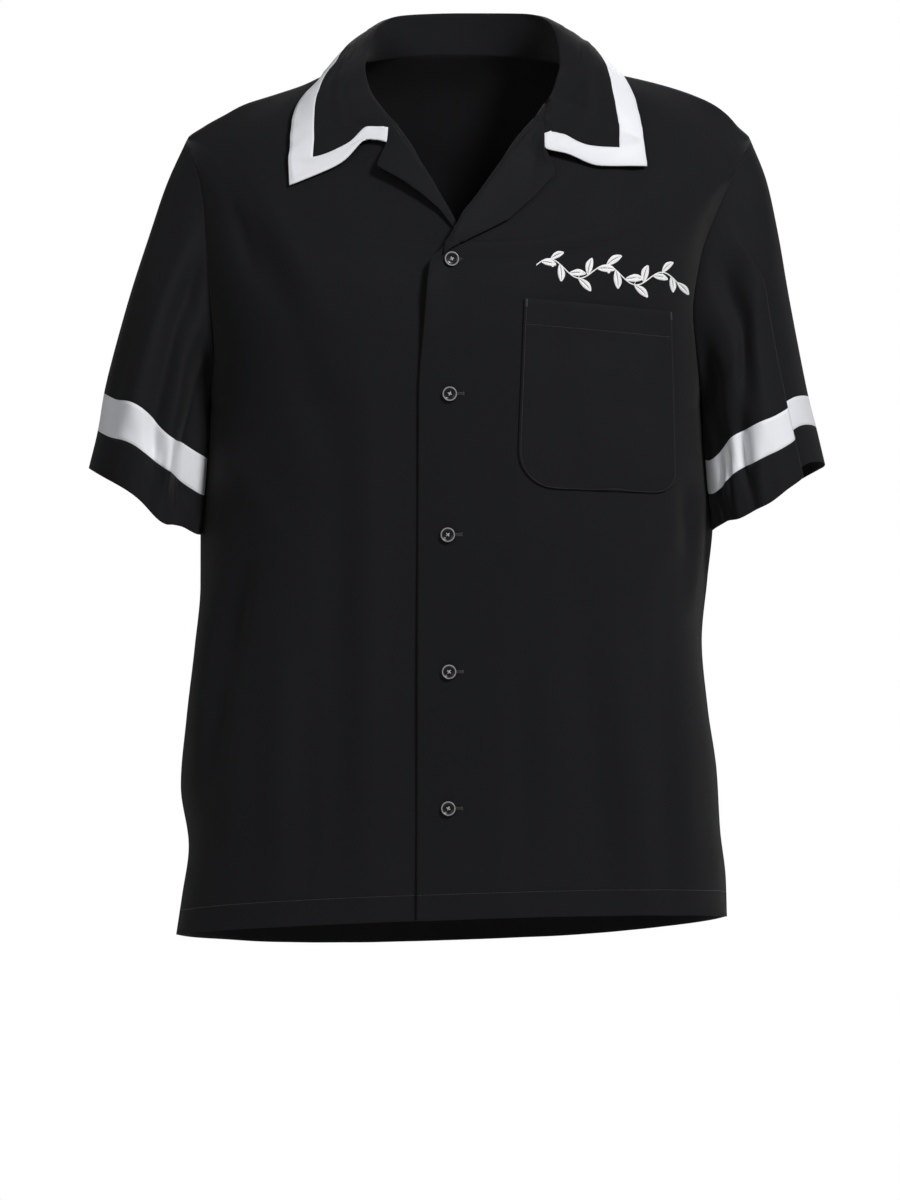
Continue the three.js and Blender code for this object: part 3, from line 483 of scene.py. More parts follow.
# ---- the shirt's form
@dataclass(frozen=True)
class ShirtForm:
    """The hanging body of the shirt, before its folds."""

    tip: float = -66.0
    pit: float = -302.0
    hem: float = -757.0
    hem_climb: float = 0.033
    rise: float = 1.3
    tip_calm: float = 34.0
    tip_spread: float = 7.0
    tip_reach: float = 62.0
    tip_rounds: int = 500
    tip_strip: float = 9.0
    strip_rounds: int = 50
    bend_rounds: int = 60
    calm_span: float = 36.0
    armhole_front: float = 57.0
    armhole_back: float = 60.0
    rings: SizeTable = table(
        "level right left side_y front front_z back back_z round",
        (0, 84, 96, 2, 90, -78, 60, 12, 1.0),
        (-9, 114, 145, 3, 98, -101, 72, -6, 1.0),
        (-18, 134, 183, 4, 104, -117, 80, -22, 0.99),
        (-26, 158, 208, 5, 108, -128, 84, -36, 0.98),
        (-35, 186, 228, 6, 112, -138, 87, -52, 0.97),
        (-44, 203, 240, 7, 117, -147, 90, -67, 0.96),
        (-54, 221, 249, 8, 121, -156, 93, -82, 0.95),
        (-66, 236, 260, 8, 125, -166, 95, -99, 0.94),
        (-98, 225, 244, 8, 132, -188, 99, -133, 0.92),
        (-127, 220, 231, 7, 135, -205, 102, -158, 0.9),
        (-171, 217, 215, 5, 135, -231, 105, -190, 0.88),
        (-220, 213, 208, 3, 133, -255, 107, -230, 0.86),
        (-250, 211, 211, 2, 132, -275, 107, -256, 0.85),
        (-302, 217, 218, 4, 133, -304, 103, -302, 0.84),
        (-345, 220, 222, 9, 137, -345, 96, -345, 0.83),
        (-400, 224, 227, 14, 140, -400, 89, -400, 0.83),
        (-455, 224, 222, 11, 135, -455, 91, -455, 0.83),
        (-510, 229, 217, 5, 127, -510, 97, -510, 0.83),
        (-570, 236, 222, 0, 120, -570, 104, -570, 0.82),
        (-628, 241, 230, 0, 118, -626, 106, -630, 0.82),
        (-680, 234, 233, 0, 117, -676, 108, -684, 0.82),
        (-724, 240, 238, 0, 117, -716, 109, -734, 0.82),
        (-757, 245, 239, 0, 116, -748, 109, -774, 0.82),
    )
    front_edge: SizeTable = table(
        "z right left",
        (-38, -66, 80),
        (-50, -58, 70.5),
        (-61, -49, 60),
        (-77, -38, 49),
        (-90, -31.5, 42),
        (-105, -22.5, 32),
        (-122, -13, 20.5),
        (-140, -3, 8.5),
        (-158, 9, -2),
        (-171, 17, -13),
        (-181, 20, -21.5),
        (-226, 21, -26),
        (-293, 21, -31),
        (-780, 20, -33),
    )

    def outer_turn(self, face: Face, level: Array) -> Array:
        """The turn at which a ring ends, at the shoulder, the armhole or the side seam.

        Args:
            face: front or back.
            level: of the rings.

        Returns:
            The turns, in radians from the centre.
        """
        u = (2 * level - self.tip - self.pit) / (self.tip - self.pit)
        depth = self.armhole_front if face is Face.FRONT else self.armhole_back
        inside = (level < self.tip) & (level > self.pit)
        reach = np.where(inside, depth * np.sqrt(np.clip(1 - u * u, 0, 1)), 0.0)
        share = reach / self.size(face.name.lower(), level)
        return np.arccos(share ** (1 / self.size("round", level)))

    def size(self, name: str, level: Array) -> Array:
        """One column of the rings at any level."""
        return self.rings.read("level", name, level)

    def reach(self, name: str, level: Array) -> Array:
        """How far a ring would reach sideways, were it not cut at the armhole."""
        outer = self.outer_turn(Face.FRONT, level)
        return self.size(name, level) / np.sin(outer) ** self.size("round", level)

    def calm_reach(self, name: str, level: Array) -> Array:
        """The same reach, evened out over the levels near the shoulder tip.

        Args:
            name: the wearer's side.
            level: of the rings.

        Returns:
            The reaches.
        """
        steps = np.linspace(-self.calm_span, self.calm_span, 37)
        near = [self.reach(name, np.minimum(level + step, 0.0)) for step in steps]
        share = bell(level - self.tip, self.tip_calm)
        return lerp(self.reach(name, level), np.mean(near, axis=0), share)

    def place(self, face: Face, level: Array, turn: Array) -> Array:
        """Points of the plain form.

        Args:
            face: front or back.
            level: height of each point's ring at its outer edge.
            turn: angle from the centre, negative towards the wearer's right.

        Returns:
            The points.
        """
        level, turn = np.asarray(level, float), np.asarray(turn, float)
        reach = np.where(turn < 0, -self.reach("right", level), self.reach("left", level))
        calm = np.where(turn < 0, -self.calm_reach("right", level), self.calm_reach("left", level))
        level, turn = np.broadcast_arrays(level, turn)
        outer = self.outer_turn(face, level)
        power = self.size("round", level)
        near = np.clip(np.sin(np.abs(turn)) / np.sin(outer), 0, 1) ** self.tip_spread
        x = lerp(calm, reach, near) * np.sin(np.abs(turn)) ** power
        toward = np.clip(np.cos(turn), 0, 1)
        depth = self.size(face.name.lower(), level)
        y = self.size("side_y", level) + face.value * depth * toward**power
        low = np.cos(outer) ** self.rise
        share = (toward**self.rise - low) / (1 - low)
        z = lerp(level, self.size(face.name.lower() + "_z", level), share)
        climb = self.hem_climb * soften((self.pit - level) / (self.pit - self.hem))
        return np.stack([x, y, z + climb * x], axis=-1)

    def inner_turn(self, side: Side, level: Array) -> Array:
        """The turn at which each ring meets a front's free edge.

        Args:
            side: which front.
            level: of the rings.

        Returns:
            The turns, in radians from the centre.
        """
        outer = self.outer_turn(Face.FRONT, level)
        low, high = -outer, outer.copy()
        for _ in range(36):
            middle = (low + high) / 2
            p = self.place(Face.FRONT, level, middle)
            beyond = p[..., 0] > self.front_edge.read("z", side.word, p[..., 2])
            low, high = np.where(beyond, low, middle), np.where(beyond, middle, high)
        return (low + high) / 2

    def softened(self, points: Array, facing: int, levels: Array) -> Array:
        """Softens a panel's bends, and draws it smooth round each shoulder tip.

        Args:
            points: rows and columns of points.
            facing: the panel's outward side.
            levels: the level of each row.

        Returns:
            The softened points.
        """
        points = relaxed(points, facing, self.bend_rounds)
        row = int(np.argmin(np.abs(levels - self.tip)))
        near = np.zeros(points.shape[:2])
        for tip in (points[row, 0], points[row, -1]):
            if abs(tip[0]) > self.tip_reach:
                near += bell(np.linalg.norm(points - tip, axis=-1), self.tip_reach)
        inner = points[1:-1, 1:-1]
        for _ in range(self.tip_rounds):
            inner += PULL * near[1:-1, 1:-1, None] * (mean_beside(points) - inner)
        rims = [np.linalg.norm(points - rim, axis=-1) for rim in (points[:, :1], points[:, -1:])]
        share = np.clip(1 - near - bell(np.minimum(*rims), self.tip_strip), 0, 1)
        strip = bell(levels - self.tip, self.tip_strip)[1:-1, None] * share[1:-1, 1:-1]
        for _ in range(self.strip_rounds):
            mean = (points[:-2, 1:-1] + points[2:, 1:-1]) / 2
            inner += 0.5 * strip[..., None] * (mean - inner)
        return points

    def levels(self, cell: float) -> Array:
        """Levels spaced evenly along the front's outer seams.

        Args:
            cell: the wanted distance between them.

        Returns:
            The levels, from the neck down.
        """
        parts = []
        for top, bottom in ((0.0, self.tip), (self.tip, self.pit), (self.pit, self.hem)):
            t = np.linspace(0.0, 1.0, 240)
            fine = lerp(top, bottom, (1 - np.cos(math.pi * t)) / 2)
            if top == 0.0:
                fine = bottom * t**1.6
            line = self.place(Face.FRONT, fine, self.outer_turn(Face.FRONT, fine))
            run = run_lengths(line, 0)
            count = max(2, round(run[-1] / cell))
            rims = (False, bottom == self.hem)
            shares = shares_with_rims(count, run[-1], rims)
            parts.append(np.interp(shares * run[-1], run, fine))
        return np.concatenate([parts[0], parts[1][1:], parts[2][1:]])

    def rows(self, face: Face, level: Array, start: Array, end: Array, shares: Array) -> Array:
        """Rings of points at even distances between two turns.

        Args:
            face: front or back.
            level: of each ring.
            start: the first turn of each ring.
            end: the last turn of each ring.
            shares: of the ring's length, from 0 to 1.

        Returns:
            Rows of points.
        """
        t = np.linspace(0.0, 1.0, 260)
        turns = lerp(start[:, None], end[:, None], t[None, :])
        run = run_lengths(self.place(face, level[:, None], turns), 1)
        found = np.stack([np.interp(shares * r[-1], r, row) for r, row in zip(run, turns)])
        return self.place(face, level[:, None], found)


@dataclass(frozen=True)
class BodyFolds:
    """The folds of the fronts and the back: lines with a width and a depth, a trough below zero."""

    lines: SizeTable = table(
        "face x0 z0 x1 z1 width depth",
        (-1, -198, -113, -140, -235, 15, -4),
        (-1, -199, -112, -178, -185, 7, -3),
        (-1, -176, -100, -118, -215, 13, 2.2),
        (-1, -140, -235, -112, -340, 17, -3),
        (-1, -205, -330, -150, -420, 14, 2.5),
        (-1, -180, -433, -200, -532, 11, -6),
        (-1, -163, -430, -182, -560, 12, 2.5),
        (-1, -200, -532, -217, -640, 10, -5),
        (-1, -214, -470, -228, -600, 10, 3),
        (-1, -186, -560, -196, -745, 12, 2.5),
        (-1, -103, -300, -103, -740, 16, -2.6),
        (-1, -77, -260, -74, -745, 15, 2),
        (-1, -150, -420, -158, -745, 17, 3),
        (-1, -128, -520, -130, -745, 12, -1.8),
        (-1, 136, -93, 67, -170, 10, -3.5),
        (-1, 112, -88, 52, -150, 9, 1.8),
        (-1, 173, -67, 120, -165, 11, -3.5),
        (-1, 190, -84, 140, -180, 11, 2),
        (-1, 72, -78, 64, -108, 7, -2),
        (-1, 200, -366, 207, -440, 8, -4.5),
        (-1, 214, -380, 208, -480, 7, 3.5),
        (-1, 196, -395, 160, -470, 12, 2),
        (-1, 112, -473, 133, -745, 14, -3),
        (-1, 139, -494, 166, -745, 14, 3),
        (-1, 58, -526, 60, -745, 13, -2.5),
        (-1, 84, -400, 88, -745, 16, 2),
        (-1, 196, -520, 206, -745, 13, 2.5),
        (-1, 180, -430, 186, -745, 10, -2),
        (1, -150, -120, -104, -330, 22, 5),
        (1, -122, -150, -84, -330, 14, -3),
        (1, 156, -120, 110, -330, 22, 5),
        (1, 126, -150, 88, -340, 14, -3),
        (1, -96, -360, -80, -765, 20, -6),
        (1, -62, -400, -52, -765, 15, 3),
        (1, 88, -340, 96, -765, 22, -6),
        (1, 54, -420, 60, -765, 14, 3.5),
        (1, 6, -330, -4, -755, 24, 4),
        (1, -30, -480, -34, -765, 12, -2.5),
        (1, -172, -430, -186, -755, 17, 5),
        (1, -138, -500, -140, -765, 13, 3),
        (1, 176, -420, 182, -755, 17, 5),
        (1, 140, -480, 138, -765, 13, -3),
        (1, -205, -345, -140, -450, 13, -4),
        (1, -190, -330, -110, -400, 10, 2.5),
        (1, 206, -335, 146, -440, 13, -4),
        (1, 190, -320, 116, -390, 10, 2.5),
        (1, -60, -60, 70, -66, 26, -2.5),
    )
    wave: float = 0.55
    wave_low: float = 46.0
    wave_high: float = 130.0
    wave_lean: float = 3.2
    calm_chest: float = 0.45
    calm_from: float = 220.0
    calm_span: float = 260.0
    fade: float = 0.08

    def height(self, face: Face, x: Array, z: Array) -> Array:
        """How far the folds move the cloth out at places across and up.

        Args:
            face: front or back.
            x: places across.
            z: places up.

        Returns:
            The heights.
        """
        total = np.zeros(x.shape)
        for side, x0, z0, x1, z1, width, depth in self.lines.rows:
            if side != face.value:
                continue
            dx, dz = x1 - x0, z1 - z0
            t = np.clip(((x - x0) * dx + (z - z0) * dz) / (dx * dx + dz * dz), 0, 1)
            off = np.hypot(x - x0 - t * dx, z - z0 - t * dz)
            total += depth * bell(off, width) * np.sin(math.pi * lerp(self.fade, 1 - self.fade, t))
        ripple = Ripple(11 + face.value, self.wave_low, self.wave_high, self.wave_lean)
        calm = lerp(self.calm_chest, 1.0, ease(-z, self.calm_from, self.calm_span))
        return total + self.wave * calm * ripple.at(x, z)


# ---- finishes
class NodeDesk:
    """Adds and joins shader nodes for one material or world."""

    def __init__(self, owner: Material | World, output: str = "ShaderNodeOutputMaterial") -> None:
        """Clears the owner's tree and adds its output node.

        Args:
            owner: the material or world.
            output: the type of its output node.
        """
        owner.use_nodes = True
        self.owner = owner
        self.tree = owner.node_tree
        self.tree.nodes.clear()
        self.output = self.tree.nodes.new(output)

    def add(self, kind: str, inputs: dict | None = None, **settings: object) -> Node:
        """Adds a node.

        Args:
            kind: the node's type.
            inputs: a value or a socket for each named input.
            settings: properties of the node.

        Returns:
            The node.
        """
        node = self.tree.nodes.new(kind)
        for key, value in settings.items():
            setattr(node, key, value)
        for key, value in (inputs or {}).items():
            if isinstance(value, NodeSocket):
                self.tree.links.new(value, node.inputs[key])
            else:
                node.inputs[key].default_value = value
        return node

    def math(self, operation: str, *values: object) -> NodeSocket:
        """A sum of one, two or three numbers or sockets."""
        return self.add("ShaderNodeMath", dict(enumerate(values)), operation=operation).outputs[0]

    def known(self, name: str) -> NodeSocket:
        """A number kept at the points of the mesh."""
        return self.add("ShaderNodeAttribute", attribute_name=name).outputs["Fac"]

    def place(self) -> NodeSocket:
        """The place on the object, in metres."""
        return self.add("ShaderNodeTexCoord").outputs["Object"]

    def noise(self, scale: float, detail: float = 2.0, at: object = None) -> NodeSocket:
        """Soft noise, its cells about one over scale metres wide."""
        inputs = {"Vector": at or self.place(), "Scale": scale, "Detail": detail, "Roughness": 0.55}
        return self.add("ShaderNodeTexNoise", inputs).outputs["Fac"]

    def groove(self, distance: object, centre: float, width: float) -> NodeSocket:
        """A soft line, one where a distance equals centre and nothing past width.

        Args:
            distance: the distance's socket.
            centre: where the line lies.
            width: its half width.

        Returns:
            The line's strength.
        """
        off = self.math("ABSOLUTE", self.math("SUBTRACT", distance, centre))
        near = self.math("SUBTRACT", 1.0, self.math("DIVIDE", off, width))
        return self.math("SMOOTH_MAX", near, 0.0, 0.2)

    def blend(self, share: object, a: object, b: object) -> NodeSocket:
        """A colour a share of the way from a to b, each three numbers or a socket."""
        a, b = (end if isinstance(end, NodeSocket) else (*end, 1.0) for end in (a, b))
        return self.add("ShaderNodeMix", dict(Factor=share, A=a, B=b), data_type="RGBA").outputs["Result"]

    def show(self, shader: Node) -> None:
        """Joins a shader to the output."""
        self.tree.links.new(shader.outputs[0], self.output.inputs["Surface"])

    def finish(self, surface: dict, height: object, depth: float) -> Material:
        """Makes the surface with its relief and joins it to the output.

        Args:
            surface: a value or a socket for each input of the surface shader.
            height: the relief, in millimetres.
            depth: how many metres one unit of it stands for.

        Returns:
            The finished material.
        """
        bump = self.add("ShaderNodeBump", {"Height": height, "Distance": depth, "Strength": 1.0})
        self.show(self.add("ShaderNodeBsdfPrincipled", {**surface, "Normal": bump.outputs[0]}))
        return self.owner


@dataclass(frozen=True)
class TwillFinish:
    """Woven shirt cloth: its colour, sheen, diagonal rib, slubs, sewn lines and puckers."""

    name: str
    colour: tuple[float, float, float]
    shade: tuple[float, float, float]
    roughness: float = 0.72
    gloss: float = 0.08
    sheen: float = 0.04
    sheen_roughness: float = 0.45
    rib: float = 0.62
    rib_depth: float = 0.035
    slub_depth: float = 0.10
    crumple: float = 0.35
    pucker: float = 0.35
    stitch_line: float = -0.16
    turned_hem: float = 0.22
    hem_line: float = 22.0
    slant: float = 0.8
    slub_stretch: float = 0.12

    def material(self) -> Material:
        """Makes the finish as a material.

        Returns:
            The material.
        """
        desk = NodeDesk(bpy.data.materials.new(self.name))
        weft, warp = desk.known("weft_mm"), desk.known("warp_mm")
        hem, seam = desk.known("hem_mm"), desk.known("seam_mm")
        lean = desk.math("MULTIPLY_ADD", warp, self.slant, weft)
        rib = desk.math("SINE", desk.math("MULTIPLY", lean, 2 * math.pi / self.rib))
        drawn = desk.math("MULTIPLY", warp, self.slub_stretch)
        thread = desk.add("ShaderNodeCombineXYZ", {"X": weft, "Y": drawn})
        slub = desk.noise(0.9, 2.0, thread.outputs[0])
        crumple = desk.noise(34.0, 3.0)
        soft = desk.noise(11.0, 2.0)
        near_hem = desk.groove(hem, self.hem_line, 9.0)
        near_seam = desk.groove(seam, 0.0, 11.0)
        near = desk.math("ADD", near_hem, near_seam)
        pucker = desk.math("MULTIPLY", near, desk.noise(150.0, 1.0))
        line = desk.math("ADD", desk.groove(hem, self.hem_line, 1.3), desk.groove(seam, 1.2, 1.4))
        turned = desk.math("LESS_THAN", hem, self.hem_line)
        relief = desk.math("MULTIPLY", rib, self.rib_depth)
        for part, amount in (
            (slub, self.slub_depth),
            (crumple, self.crumple),
            (soft, 2.0 * self.crumple),
            (pucker, self.pucker),
            (line, self.stitch_line),
            (turned, self.turned_hem),
        ):
            relief = desk.math("MULTIPLY_ADD", part, amount, relief)
        mottle = desk.math("MULTIPLY", desk.noise(6.0, 3.0), 0.65)
        tone = desk.math("MULTIPLY_ADD", slub, 0.35, mottle)
        surface = {
            "Base Color": desk.blend(tone, self.shade, self.colour),
            "Roughness": desk.math("MULTIPLY_ADD", slub, 0.1, self.roughness - 0.05),
            "Specular IOR Level": self.gloss,
            "Sheen Weight": self.sheen,
            "Sheen Roughness": self.sheen_roughness,
        }
        return desk.finish(surface, relief, MM)


@dataclass(frozen=True)
class ThreadFinish:
    """Sewing or embroidery thread, twisted across its run."""

    name: str
    colour: tuple[float, float, float]
    roughness: float = 0.45
    gloss: float = 0.4
    sheen: float = 0.3
    twist: float = 0.5
    depth: float = 0.06

    def material(self) -> Material:
        """Makes the finish as a material.

        Returns:
            The material.
        """
        desk = NodeDesk(bpy.data.materials.new(self.name))
        run = desk.known("run_mm")
        ply = desk.math("SINE", desk.math("MULTIPLY", run, 2 * math.pi / self.twist))
        uneven = desk.noise(900.0, 1.0)
        rough = desk.math("MULTIPLY", uneven, self.depth)
        relief = desk.math("MULTIPLY_ADD", ply, self.depth, rough)
        # painted shade: the colour follows the relief, darker in the twist grooves and where the thread
        # lies lower
        tone = desk.math("MULTIPLY_ADD", ply, 0.12, desk.math("MULTIPLY_ADD", uneven, 0.3, 0.6))
        surface = {
            "Base Color": desk.blend(tone, [0.72 * part for part in self.colour], self.colour),
            "Roughness": self.roughness,
            "Specular IOR Level": self.gloss,
            "Sheen Weight": self.sheen,
        }
        return desk.finish(surface, relief, MM)


@dataclass(frozen=True)
class ButtonFinish:
    """Polished shirt button: dark, glossy, with faint swirls and a painted highlight round the top of its
    rim.
    """

    name: str
    colour: tuple[float, float, float]
    # pale grey painted on the top of the rim as a painted highlight
    rim_highlight: tuple[float, float, float] = (0.34, 0.34, 0.35)
    roughness: float = 0.26

    def material(self) -> Material:
        """Makes the finish as a material.

        Returns:
            The material.
        """
        desk = NodeDesk(bpy.data.materials.new(self.name))
        swirl = desk.noise(260.0, 4.0)
        scuff = desk.noise(1500.0, 2.0)
        body = desk.blend(swirl, self.colour, [2.2 * part for part in self.colour])
        # painted highlight: the rim mask, broken up by scuff noise, mixes the pale grey into the colour
        painted_highlight = desk.math("MULTIPLY", desk.known("rim"), desk.math("MULTIPLY_ADD", scuff, 0.5, 0.6))
        surface = {
            "Base Color": desk.blend(painted_highlight, body, self.rim_highlight),
            "Roughness": desk.math("MULTIPLY_ADD", scuff, 0.18, self.roughness - 0.06),
            "Specular IOR Level": 0.3,
            "Coat Weight": 0.12,
            "Coat Roughness": 0.08,
        }
        return desk.finish(surface, scuff, 0.02 * MM)


@dataclass(frozen=True)
class StudioFinish:
    """Pale matt paint for the studio floor, fading out at its rim."""

    name: str
    tone: float = 0.8
    fade_from: float = 1.0
    fade_to: float = 1.75

    def material(self) -> Material:
        """Makes the finish as a material.

        Returns:
            The material.
        """
        desk = NodeDesk(bpy.data.materials.new(self.name))
        plan = {0: desk.place(), 1: (1.0, 1.0, 0.0)}
        flat = desk.add("ShaderNodeVectorMath", plan, operation="MULTIPLY")
        reach = desk.add("ShaderNodeVectorMath", {0: flat.outputs[0]}, operation="LENGTH")
        inputs = {"Value": reach.outputs["Value"], "From Min": self.fade_from}
        inputs["From Max"] = self.fade_to
        fade = desk.add("ShaderNodeMapRange", inputs, interpolation_type="SMOOTHSTEP")
        mottle = desk.math("MULTIPLY_ADD", desk.noise(4.0, 3.0), 0.02, self.tone - 0.01)
        paint = desk.add("ShaderNodeCombineColor", {"Red": mottle, "Green": mottle, "Blue": mottle})
        matt = desk.add("ShaderNodeBsdfDiffuse", {"Color": paint.outputs[0]})
        clear = desk.add("ShaderNodeBsdfTransparent")
        ends = {0: fade.outputs[0], 1: matt.outputs[0], 2: clear.outputs[0]}
        desk.show(desk.add("ShaderNodeMixShader", ends))
        return desk.owner


@dataclass(frozen=True)
class Finishes:
    """Every finish of the shirt, made once."""

    black: Material
    white: Material
    sewing: Material
    embroidery: Material
    button: Material
    tying: Material

    @staticmethod
    def made() -> "Finishes":
        """Makes the finishes.

        Returns:
            All of them.
        """
        black = TwillFinish("black_twill", (0.0094, 0.0097, 0.0108), (0.0068, 0.0071, 0.0082))
        return Finishes(
            black=black.material(),
            white=TwillFinish(
                "white_satin_band",
                (0.72, 0.725, 0.75),
                (0.64, 0.645, 0.68),
                roughness=0.5,
                gloss=0.35,
                sheen=0.15,
                rib_depth=0.02,
                slub_depth=0.06,
                crumple=0.3,
                hem_line=-50.0,
            ).material(),
            sewing=ThreadFinish("black_thread", (0.012, 0.012, 0.014)).material(),
            embroidery=ThreadFinish("white_floss", (0.95, 0.95, 0.95), twist=0.42).material(),
            button=ButtonFinish("black_polished_button", (0.003, 0.003, 0.0035)).material(),
            tying=ThreadFinish("grey_button_thread", (0.42, 0.42, 0.43)).material(),
        )


def dress(
    piece: Object, finish: Material, nodes: tuple[str, ...] = ()
) -> None:
    """Gives a piece its finish, hangs it on the frame's root and hides the solids that it stands for.

    Args:
        piece: the object.
        finish: its material.
        nodes: the solids that it stands for.
    """
    piece.data.materials.clear()
    piece.data.materials.append(finish)
    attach(piece, "root")
    if nodes:
        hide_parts(*nodes)


# ---- fronts and back
@dataclass(frozen=True)
class FlatCut:
    """The flat size that a sheet was cut to, in metres, and its area where it isn't a rectangle."""

    width: float
    length: float
    area: float | None = None

    def declare(self, piece: Object, held: str, rests_on: tuple[str, ...]) -> None:
        """Takes a piece, the way it is held and what it rests on, and does nothing with them."""


@dataclass(frozen=True)
class Sheet:
    """How one piece of cloth is made up: its finish, slot and flat cut, and the way it is held."""

    finish: Material
    cut: FlatCut
    held: str = "hung"
    rests_on: tuple[str, ...] = ()
    slot: str = "black_cloth"

    def sew(
        self, name: str, grid: ClothGrid, thickness: float, keep: Array | None = None
    ) -> ClothGrid:
        """Makes the piece that stands for a solid.

        Args:
            name: of the solid.
            grid: the middle of the cloth.
            thickness: of the cloth, in millimetres.
            keep: which cells the piece has, or None for all.

        Returns:
            The middle of the cloth.
        """
        piece = grid.wall(name + "_cloth", thickness, keep)
        dress(piece, self.finish, (name,))
        self.cut.declare(piece, self.held, self.rests_on)
        return grid


@dataclass
class FrontPanel:
    """One front, from its free edge to the shoulder, armhole and side seams."""

    form: ShirtForm
    folds: BodyFolds
    side: Side
    levels: Array
    cut: FlatCut
    columns: int = 84
    cloth: float = 1.0
    seam_calm: float = 8.0
    placket_calm: float = 26.0
    lift: float = 3.2
    lift_from: float = 46.0
    lift_fade: float = 50.0
    neck_lift: float = 5.0
    neck_x: float = 4.0
    neck_z: float = -150.0
    neck_reach: float = 38.0
    curl: float = 5.5
    curl_z: float = -197.0
    curl_reach: float = 42.0
    curl_width: float = 14.0
    sag: float = 0.9
    sag_width: float = 16.0
    steady: int = 3

    def overlap(self, points: Array, from_edge: Array) -> Array:
        """How far the left front rides out over the right one.

        Args:
            points: of the left front.
            from_edge: distance of each from the free edge.

        Returns:
            The heights.
        """
        x, z = points[..., 0], points[..., 2]
        plain = 1 - ease(x, self.lift_from, self.lift_fade)
        neck = bell(z - self.neck_z, self.neck_reach) * bell(x - self.neck_x, self.neck_reach)
        curl = bell(z - self.curl_z, self.curl_reach) * bell(from_edge, self.curl_width)
        waves = Ripple(5, 90.0, 190.0, 1.0).at(np.zeros_like(z), z)
        sag = self.sag * waves * bell(from_edge, self.sag_width)
        return self.lift * plain + self.neck_lift * neck + self.curl * curl + sag

    def grid(self) -> ClothGrid:
        """The middle of the cloth with its folds.

        Returns:
            The cloth.
        """
        way = self.side.value
        end = way * self.form.outer_turn(Face.FRONT, self.levels)
        start = self.form.inner_turn(self.side, self.levels)
        shares = shares_with_rims(self.columns, 250.0, (True, False))
        points = self.form.rows(Face.FRONT, self.levels, start, end, shares)
        points = self.form.softened(points, -way, self.levels)
        across, down = run_lengths(points, 1), run_lengths(points, 0)
        seam = across[:, -1:] - across
        free = 1 - bell(points[..., 0], self.placket_calm)
        height = self.folds.height(Face.FRONT, points[..., 0], points[..., 2]) * free
        height = height * (1 - bell(seam, self.seam_calm))
        if self.side is Side.LEFT:
            height = height + self.overlap(points, across)
        fields = cloth_fields(across, down, seam, down[-1:] - down)
        out = ClothGrid(points, -way).normals()
        out[:, : self.steady] = out[:, self.steady : self.steady + 1]
        return ClothGrid(points + out * height[..., None], -way, False, fields)

    def build(self, finish: Material) -> ClothGrid:
        """Makes the front and returns the middle of its cloth."""
        return Sheet(finish, self.cut).sew(f"front_{self.side.word}", self.grid(), self.cloth)


@dataclass
class BackPanel:
    """The back, across from one armhole and side seam to the other."""

    form: ShirtForm
    folds: BodyFolds
    levels: Array
    cut: FlatCut
    columns: int = 136
    cloth: float = 1.0
    seam_calm: float = 8.0
    neck_calm: float = 30.0

    def grid(self) -> ClothGrid:
        """The middle of the cloth with its folds.

        Returns:
            The cloth.
        """
        outer = self.form.outer_turn(Face.BACK, self.levels)
        shares = np.linspace(0, 1, self.columns + 1)
        points = self.form.rows(Face.BACK, self.levels, -outer, outer, shares)
        points = self.form.softened(points, 1, self.levels)
        across, down = run_lengths(points, 1), run_lengths(points, 0)
        seam = np.minimum(across, across[:, -1:] - across)
        height = self.folds.height(Face.BACK, points[..., 0], points[..., 2])
        height = height * (1 - bell(seam, self.seam_calm)) * soften((down + 4) / self.neck_calm)
        fields = cloth_fields(across, down, seam, down[-1:] - down)
        return ClothGrid(points, 1, False, fields).moved(height)

    def build(self, finish: Material) -> ClothGrid:
        """Makes the back and returns the middle of its cloth."""
        return Sheet(finish, self.cut).sew("back", self.grid(), self.cloth)


# ---- sleeves
@dataclass(frozen=True)
class Tuck:
    """A deep fold down a sleeve: the cloth behind it lies back and climbs towards the hem."""

    turn: float = 0.0
    width: float = 16.0
    swing: float = 0.0
    step: float = 0.0
    recess: float = 0.0
    rise: float = 0.0
    fade: float = 26.0
    sharp: float = 2.2

    def laid(self, along: Array) -> Array:
        """How fully the fold is laid at shares of the sleeve's length."""
        return ease(along, 0.02, 0.4)

    def slide(self, turn: Array, along: Array) -> Array:
        """How many degrees the cloth slides round under the fold."""
        q = np.clip((turn - self.turn) / self.width, -1, 1)
        return self.swing * self.width * np.sin(math.pi * q) * (1 - q * q) * self.laid(along)

    def depth(self, turn: Array, along: Array) -> Array:
        """How far the fold moves the cloth out.

        Args:
            turn: degrees round the sleeve.
            along: share of its length.

        Returns:
            The heights.
        """
        q = np.clip((turn - self.turn) / self.width, -1, 1)
        step = np.tanh(3 * q) * np.exp(-np.abs(turn - self.turn) / self.fade)
        back = self.recess * self.past(turn) * ease(turn, -5, 45)
        return self.laid(along) * (self.step * step - back)

    def climb(self, turn: Array, along: Array) -> Array:
        """How far the cloth behind the fold climbs."""
        return self.rise * ease(along, 0.45, 0.35) * self.past(turn) * ease(turn, -12, 60)

    def past(self, turn: Array) -> Array:
        """One behind the fold and nothing before it."""
        return 0.5 - 0.5 * np.tanh(self.sharp * (turn - self.turn) / self.width)


